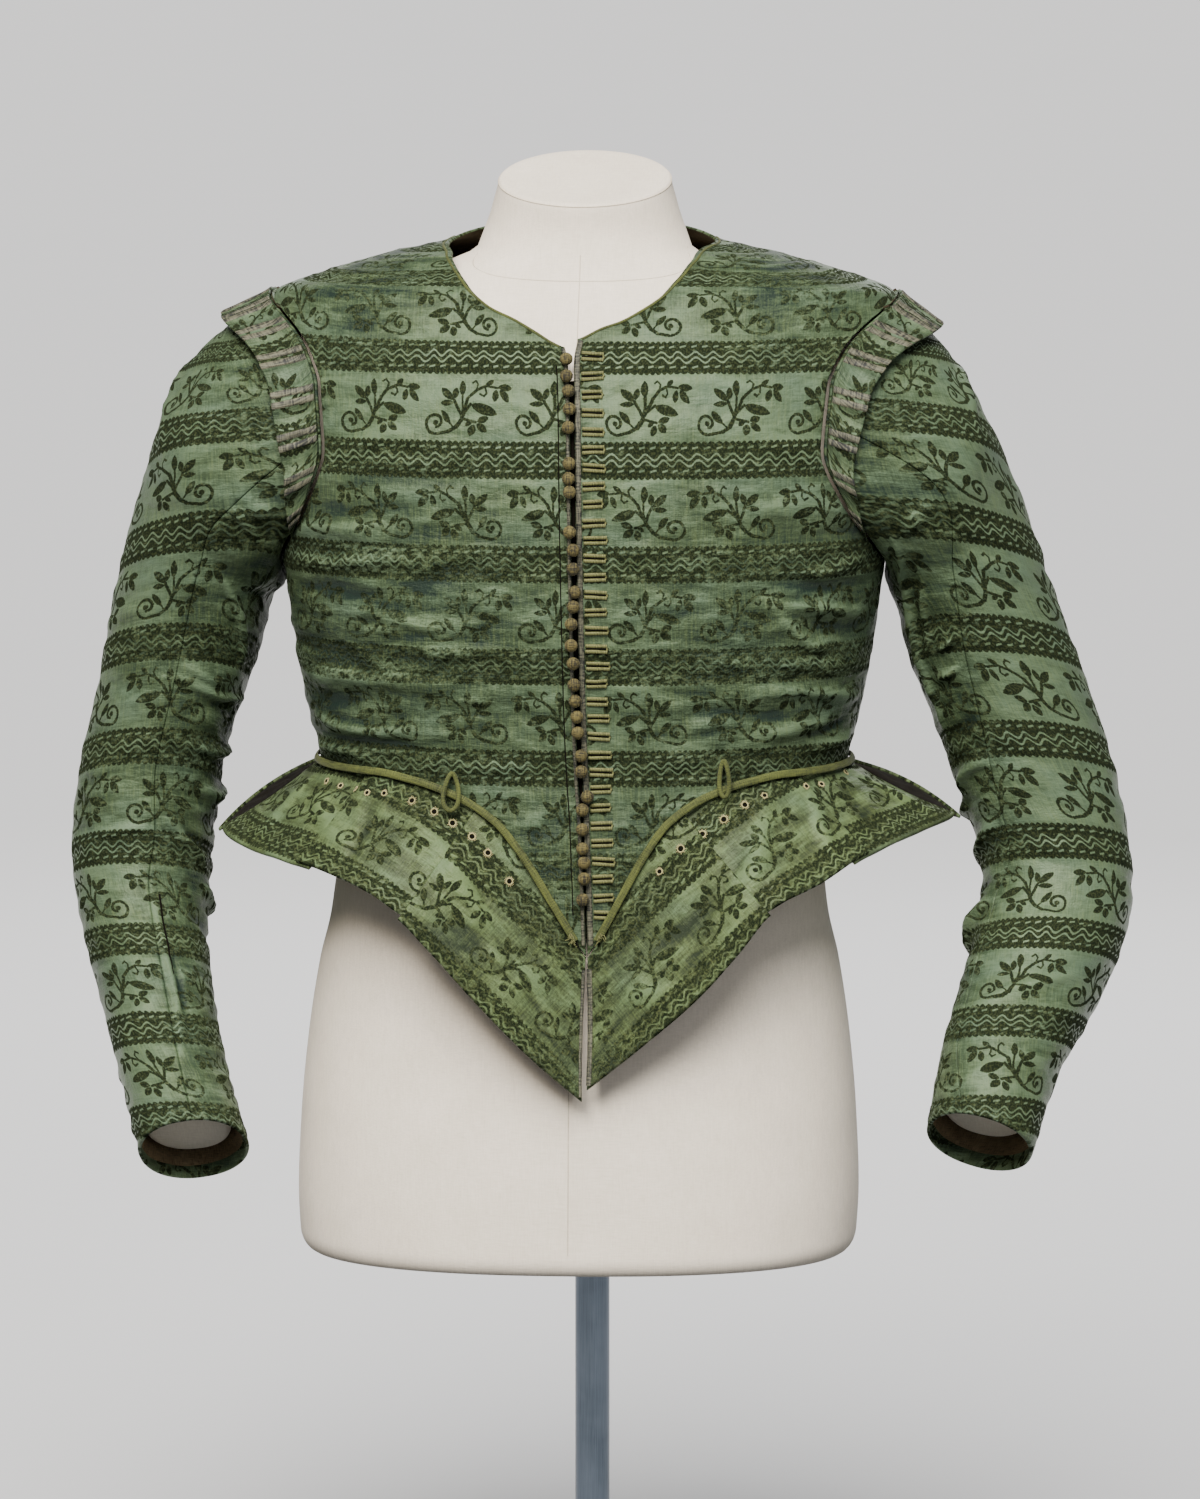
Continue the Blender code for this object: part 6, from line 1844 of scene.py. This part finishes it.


# soft ridges and troughs: rise and width in millimetres, then the path in millimetres
BODY_CREASES = {
    Side.RIGHT: (
        (2, 6, 155, 735, 134, 736, 100, 729, 64, 730), (1.5, 7, 104, 711, 84, 712, 48, 713),
        (2.6, 6, 198, 664, 161, 659, 131, 657, 110, 659), (-2, 5, 176, 650, 137, 652, 103, 647),
        (2.2, 5, 205, 643, 159, 644, 140, 639), (1.3, 6, 40, 606, 19, 607),
        (1.6, 7, 205, 765, 162, 766, 127, 770, 86, 767), (-1.8, 8, 211, 712, 161, 711, 122, 686),
        (-1.3, 9, 215, 803, 150, 800, 105, 803), (1.6, 7, 215, 785, 170, 789, 120, 785),
        (-1.5, 7, 215, 748, 170, 750, 120, 746), (2, 8, 210, 690, 150, 694, 90, 690), (-1.6, 6, 205, 677, 140, 679),
        (1, 10, 160, 830, 120, 850, 90, 860), (-0.9, 9, 175, 815, 120, 822, 60, 820),
        (0.8, 8, 30, 900, 60, 895, 100, 905), (0.8, 8, 20, 870, 70, 872, 120, 868), (1.4, 7, 30, 640, 80, 636),
        (-1.2, 8, 60, 766, 90, 760, 110, 750),
    ),
    Side.LEFT: (
        (2.4, 6, 120, 743, 171, 738, 212, 732), (2, 5, 125, 742, 143, 724, 154, 714, 172, 712),
        (2, 6, 105, 687, 148, 686, 208, 677), (1.4, 6, 66, 661, 77, 666, 100, 669),
        (2.4, 5, 164, 646, 185, 649, 211, 652), (-2, 5, 153, 655, 172, 658, 200, 664),
        (-1.6, 6, 71, 674, 91, 673, 140, 668), (1.8, 7, 205, 768, 162, 760, 132, 763),
        (-1.8, 6, 210, 752, 170, 752, 130, 756), (-1.8, 6, 210, 720, 180, 724, 150, 728),
        (1.6, 8, 210, 700, 170, 700, 120, 704), (1.4, 7, 200, 664, 150, 662, 110, 655),
        (1.2, 10, 165, 830, 130, 846, 100, 858), (1, 10, 210, 800, 150, 806, 90, 802),
        (-1.2, 8, 205, 786, 150, 784, 110, 788), (1.2, 8, 35, 640, 80, 643), (0.9, 10, 30, 690, 70, 694),
        (0.8, 8, 45, 880, 90, 884, 130, 878),
    ),
}
BACK_CREASES = (
    (1.6, 8, 210, 770, 150, 764, 90, 768), (-1.5, 7, 200, 748, 140, 744), (2, 7, 210, 726, 160, 730, 100, 724),
    (1.6, 9, 205, 700, 150, 704, 70, 700), (-1.7, 6, 200, 684, 140, 680), (2.2, 7, 205, 668, 150, 664, 80, 668),
    (1.6, 6, 190, 650, 120, 646, 60, 650), (-1.2, 6, 100, 640, 40, 634), (1.2, 10, 175, 830, 140, 850, 110, 880),
    (1, 9, 70, 930, 100, 910, 150, 900), (0.9, 12, 30, 800, 90, 796),
)
# first along the turn round the arm, then down it
SLEEVE_CREASES = {
    Side.RIGHT: (
        (2.2, 5, 80, 46, 85, 45, 90, 42, 100, 28), (2.2, 5, 81, 56, 88, 54, 96, 48, 106, 46),
        (2.6, 6, 98, 120, 112, 146, 123, 186, 127, 214), (-2.2, 6, 111, 248, 140, 276),
        (2.4, 6, 88, 229, 115, 245, 150, 256), (2.8, 7, 103, 293, 135, 311, 180, 318), (1.8, 6, 82, 216, 112, 233),
        (-2.6, 6, 105, 374, 132, 390, 170, 396), (2.6, 6, 96, 362, 113, 384, 143, 414),
        (3, 5, 88, 440, 92, 490, 95, 534, 88, 581), (-2.2, 4, 101, 501, 103, 528, 102, 562),
        (3.2, 7, 120, 340, 150, 350, 195, 342), (-2.4, 6, 130, 366, 160, 372, 200, 368),
        (3, 8, 140, 430, 170, 436, 210, 428), (-2.2, 7, 120, 460, 150, 468, 190, 460),
        (1.4, 8, -20, 60, 10, 70, 40, 90), (1.8, 9, -70, 300, -50, 320, -30, 350),
        (1.8, 8, -70, 420, -45, 410, -15, 420), (1.6, 9, -75, 160, -50, 180, -30, 220),
        (1.4, 7, 30, 560, 60, 540, 85, 535), (1.4, 7, 50, 380, 70, 372, 90, 372),
    ),
    Side.LEFT: (
        (2.4, 6, 100, 44, 92, 52, 84, 60), (3.2, 6, 106, 40, 124, 62, 124, 140, 124, 205, 127, 274),
        (2, 4, 109, 93, 111, 163, 115, 198), (2.2, 5, 108, 190, 87, 181), (2.2, 5, 116, 223, 94, 209),
        (-2.6, 6, 122, 284, 96, 260), (2.6, 6, 140, 330, 118, 310, 94, 295), (2.8, 7, 160, 388, 135, 372, 110, 354),
        (5.5, 12, 190, 462, 160, 455, 128, 438), (-2.2, 7, 185, 430, 155, 424, 130, 412),
        (1.8, 6, 106, 556, 72, 542, 35, 520), (1.4, 6, 100, 613, 66, 594, 30, 590),
        (3, 7, 200, 350, 160, 350, 140, 342), (-2.2, 7, 200, 480, 160, 486, 130, 478),
        (1.3, 7, 95, 500, 60, 486, 20, 490), (1.4, 8, -20, 70, 10, 60, 40, 80),
        (1.8, 9, -70, 310, -50, 325, -30, 350), (1.8, 8, -70, 430, -45, 418, -15, 430),
        (1.6, 9, -75, 180, -50, 200, -30, 240),
    ),
}
# first along the lap at 110 mm for each quarter of a side, then down it at 70 mm for its depth
LAP_CREASES = {
    Side.RIGHT: (
        (-2.2, 8, 97, 64, 80, 55, 62, 42), (1.8, 9, 159, 19, 124, 26, 83, 36, 56, 44),
        (2, 9, 260, 20, 212, 42, 177, 49), (-1.6, 8, 200, 12, 180, 30, 170, 60), (1.6, 10, 290, 10, 280, 60),
        (1.2, 9, 20, 20, 40, 40, 50, 60), (2, 12, 350, 10, 360, 60), (1.8, 12, 400, 15, 405, 65),
    ),
    Side.LEFT: (
        (2, 10, 174, 13, 140, 36, 102, 53), (-1.6, 9, 47, 32, 72, 42, 97, 41), (1.8, 9, 220, 14, 200, 36, 190, 60),
        (-1.6, 10, 260, 10, 250, 30, 240, 60), (1.6, 10, 300, 10, 310, 60), (1.2, 9, 20, 30, 50, 60),
        (2, 12, 350, 10, 360, 60), (1.8, 12, 400, 15, 405, 65),
    ),
}
# eyelets: place along the lap, share of its depth and size
EYELETS = {
    Side.RIGHT: (
        (1.41, 0.156, 1), (1.215, 0.169, 1), (1.065, 0.175, 1.05), (0.92, 0.181, 1.05), (0.8, 0.188, 1),
        (0.62, 0.194, 1), (2.36, 0.15, 0.8), (2.18, 0.163, 0.8), (1.99, 0.175, 0.8), (1.845, 0.194, 0.8),
        (1.68, 0.163, 0.8),
    ),
    Side.LEFT: (
        (0.655, 0.156, 0.9), (0.835, 0.181, 1.1), (1.005, 0.194, 1.1), (1.19, 0.194, 1.1), (1.385, 0.156, 1),
        (1.56, 0.138, 0.8), (1.955, 0.138, 0.8), (2.14, 0.131, 0.8), (2.565, 0.081, 0.8),
    ),
}
# worn spots, and spots of painted shade such as the darker belly and the undersides of the sleeves: two crease
# coordinates and a radius in millimetres, and an amount
FRONT_WEAR_AND_SHADE = {
    Side.RIGHT: (112, 720, 195, 1.25, 25, 572, 105, 1.35, 190, 680, 170, 1.35, 140, 945, 90, 1.4, 210, 850, 90, 1,
    80, 780, 100, 0.7),
    Side.LEFT: (112, 715, 185, 1.1, 30, 572, 100, 1.2, 200, 700, 160, 1.1, 140, 945, 90, 1.35, 210, 800, 90, 0.9, 70,
    780, 90, 0.5),
}
BACK_WEAR_AND_SHADE = (100, 930, 140, 1, 120, 690, 200, 0.9, 50, 820, 140, 0.5)
SLEEVE_WEAR_AND_SHADE = {
    Side.RIGHT: (150, 50, 120, 1.35, 150, 180, 120, 1.35, 150, 300, 120, 1.3, 150, 420, 110, 1.1, 140, 550, 90, 1,
    50, 0, 80, 1.3, 50, 330, 100, 0.7, 70, 220, 70, 0.9, 30, 480, 80, 0.6, -50, 300, 90, 0.6, -20, 0, 70, 1.1),
    Side.LEFT: (160, 50, 120, 1.35, 160, 180, 110, 1.35, 170, 300, 110, 1.2, 180, 420, 100, 0.9, 160, 550, 80, 0.6,
    70, 0, 80, 1.3, 50, 570, 70, 0.5, -50, 300, 90, 0.3, -20, 0, 70, 1),
}
LAP_WEAR_AND_SHADE = (30, 20, 100, 0.7, 150, 30, 90, 0.6, 270, 30, 90, 0.3, 400, 30, 120, 0.6, 0, 70, 60, 1.2, 70, 60, 30, 0.8)


def creases_of(rows: Sequence[Sequence[float]]) -> Tuple[Crease, ...]:
    """Make creases from rows of rise, width and path in millimetres."""
    return tuple(Crease(np.reshape(row[2:], (-1, 2)) * MM, row[0] * 1.8 * MM, row[1] * MM) for row in rows)


def main() -> None:
    """Dress every solid and report each piece."""
    logging.basicConfig(level=logging.INFO, format="%(message)s")
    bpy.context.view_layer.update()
    figures = WovenFigures()
    finishes = {name: finish.build(figures) for name, finish in FINISHES.items()}
    maker = StripMaker()
    form = DressForm(finishes)
    for side, front_origin, sleeve_origin, row_shift in ((Side.RIGHT, 34.8, -9.0, 8.0),
                                                         (Side.LEFT, -20.4, 32.5, 0.0)):
        front = BodyPanel(side, True, creases_of(BODY_CREASES[side]), FRONT_WEAR_AND_SHADE[side],
                          origin=front_origin * MM).build(finishes)
        BodyPanel(side, False, creases_of(BACK_CREASES), BACK_WEAR_AND_SHADE, 1.05).build(finishes)
        _, inner = Sleeve(side, creases_of(SLEEVE_CREASES[side]), row_shift * MM, sleeve_origin * MM,
                          SLEEVE_WEAR_AND_SHADE[side]).build(finishes)
        Wing(side).build(finishes)
        laps = {row[0]: Lap(side, row, creases_of(LAP_CREASES[side]), LAP_WEAR_AND_SHADE).build(finishes) for row in LAP_ROWS}
        trimmings = Trimmings(side, maker, finishes, Resting(front), {name: Resting(lap) for name, lap in laps.items()})
        trimmings.waist_cord()
        trimmings.waist_loop()
        trimmings.edge_braid()
        trimmings.eyelets()
        trimmings.cord_tuft()
        if side is Side.LEFT:
            trimmings.buttonholes()
        else:
            trimmings.front_stitching()
        trimmings.sleeve_slits(Resting(inner))
        form.filling(side)
    Buttons().build(finishes)
    form.torso()
    form.seams(maker)
    Stand().build(finishes)
    Studio().build(finishes)


if __name__ == "__main__":
    main()
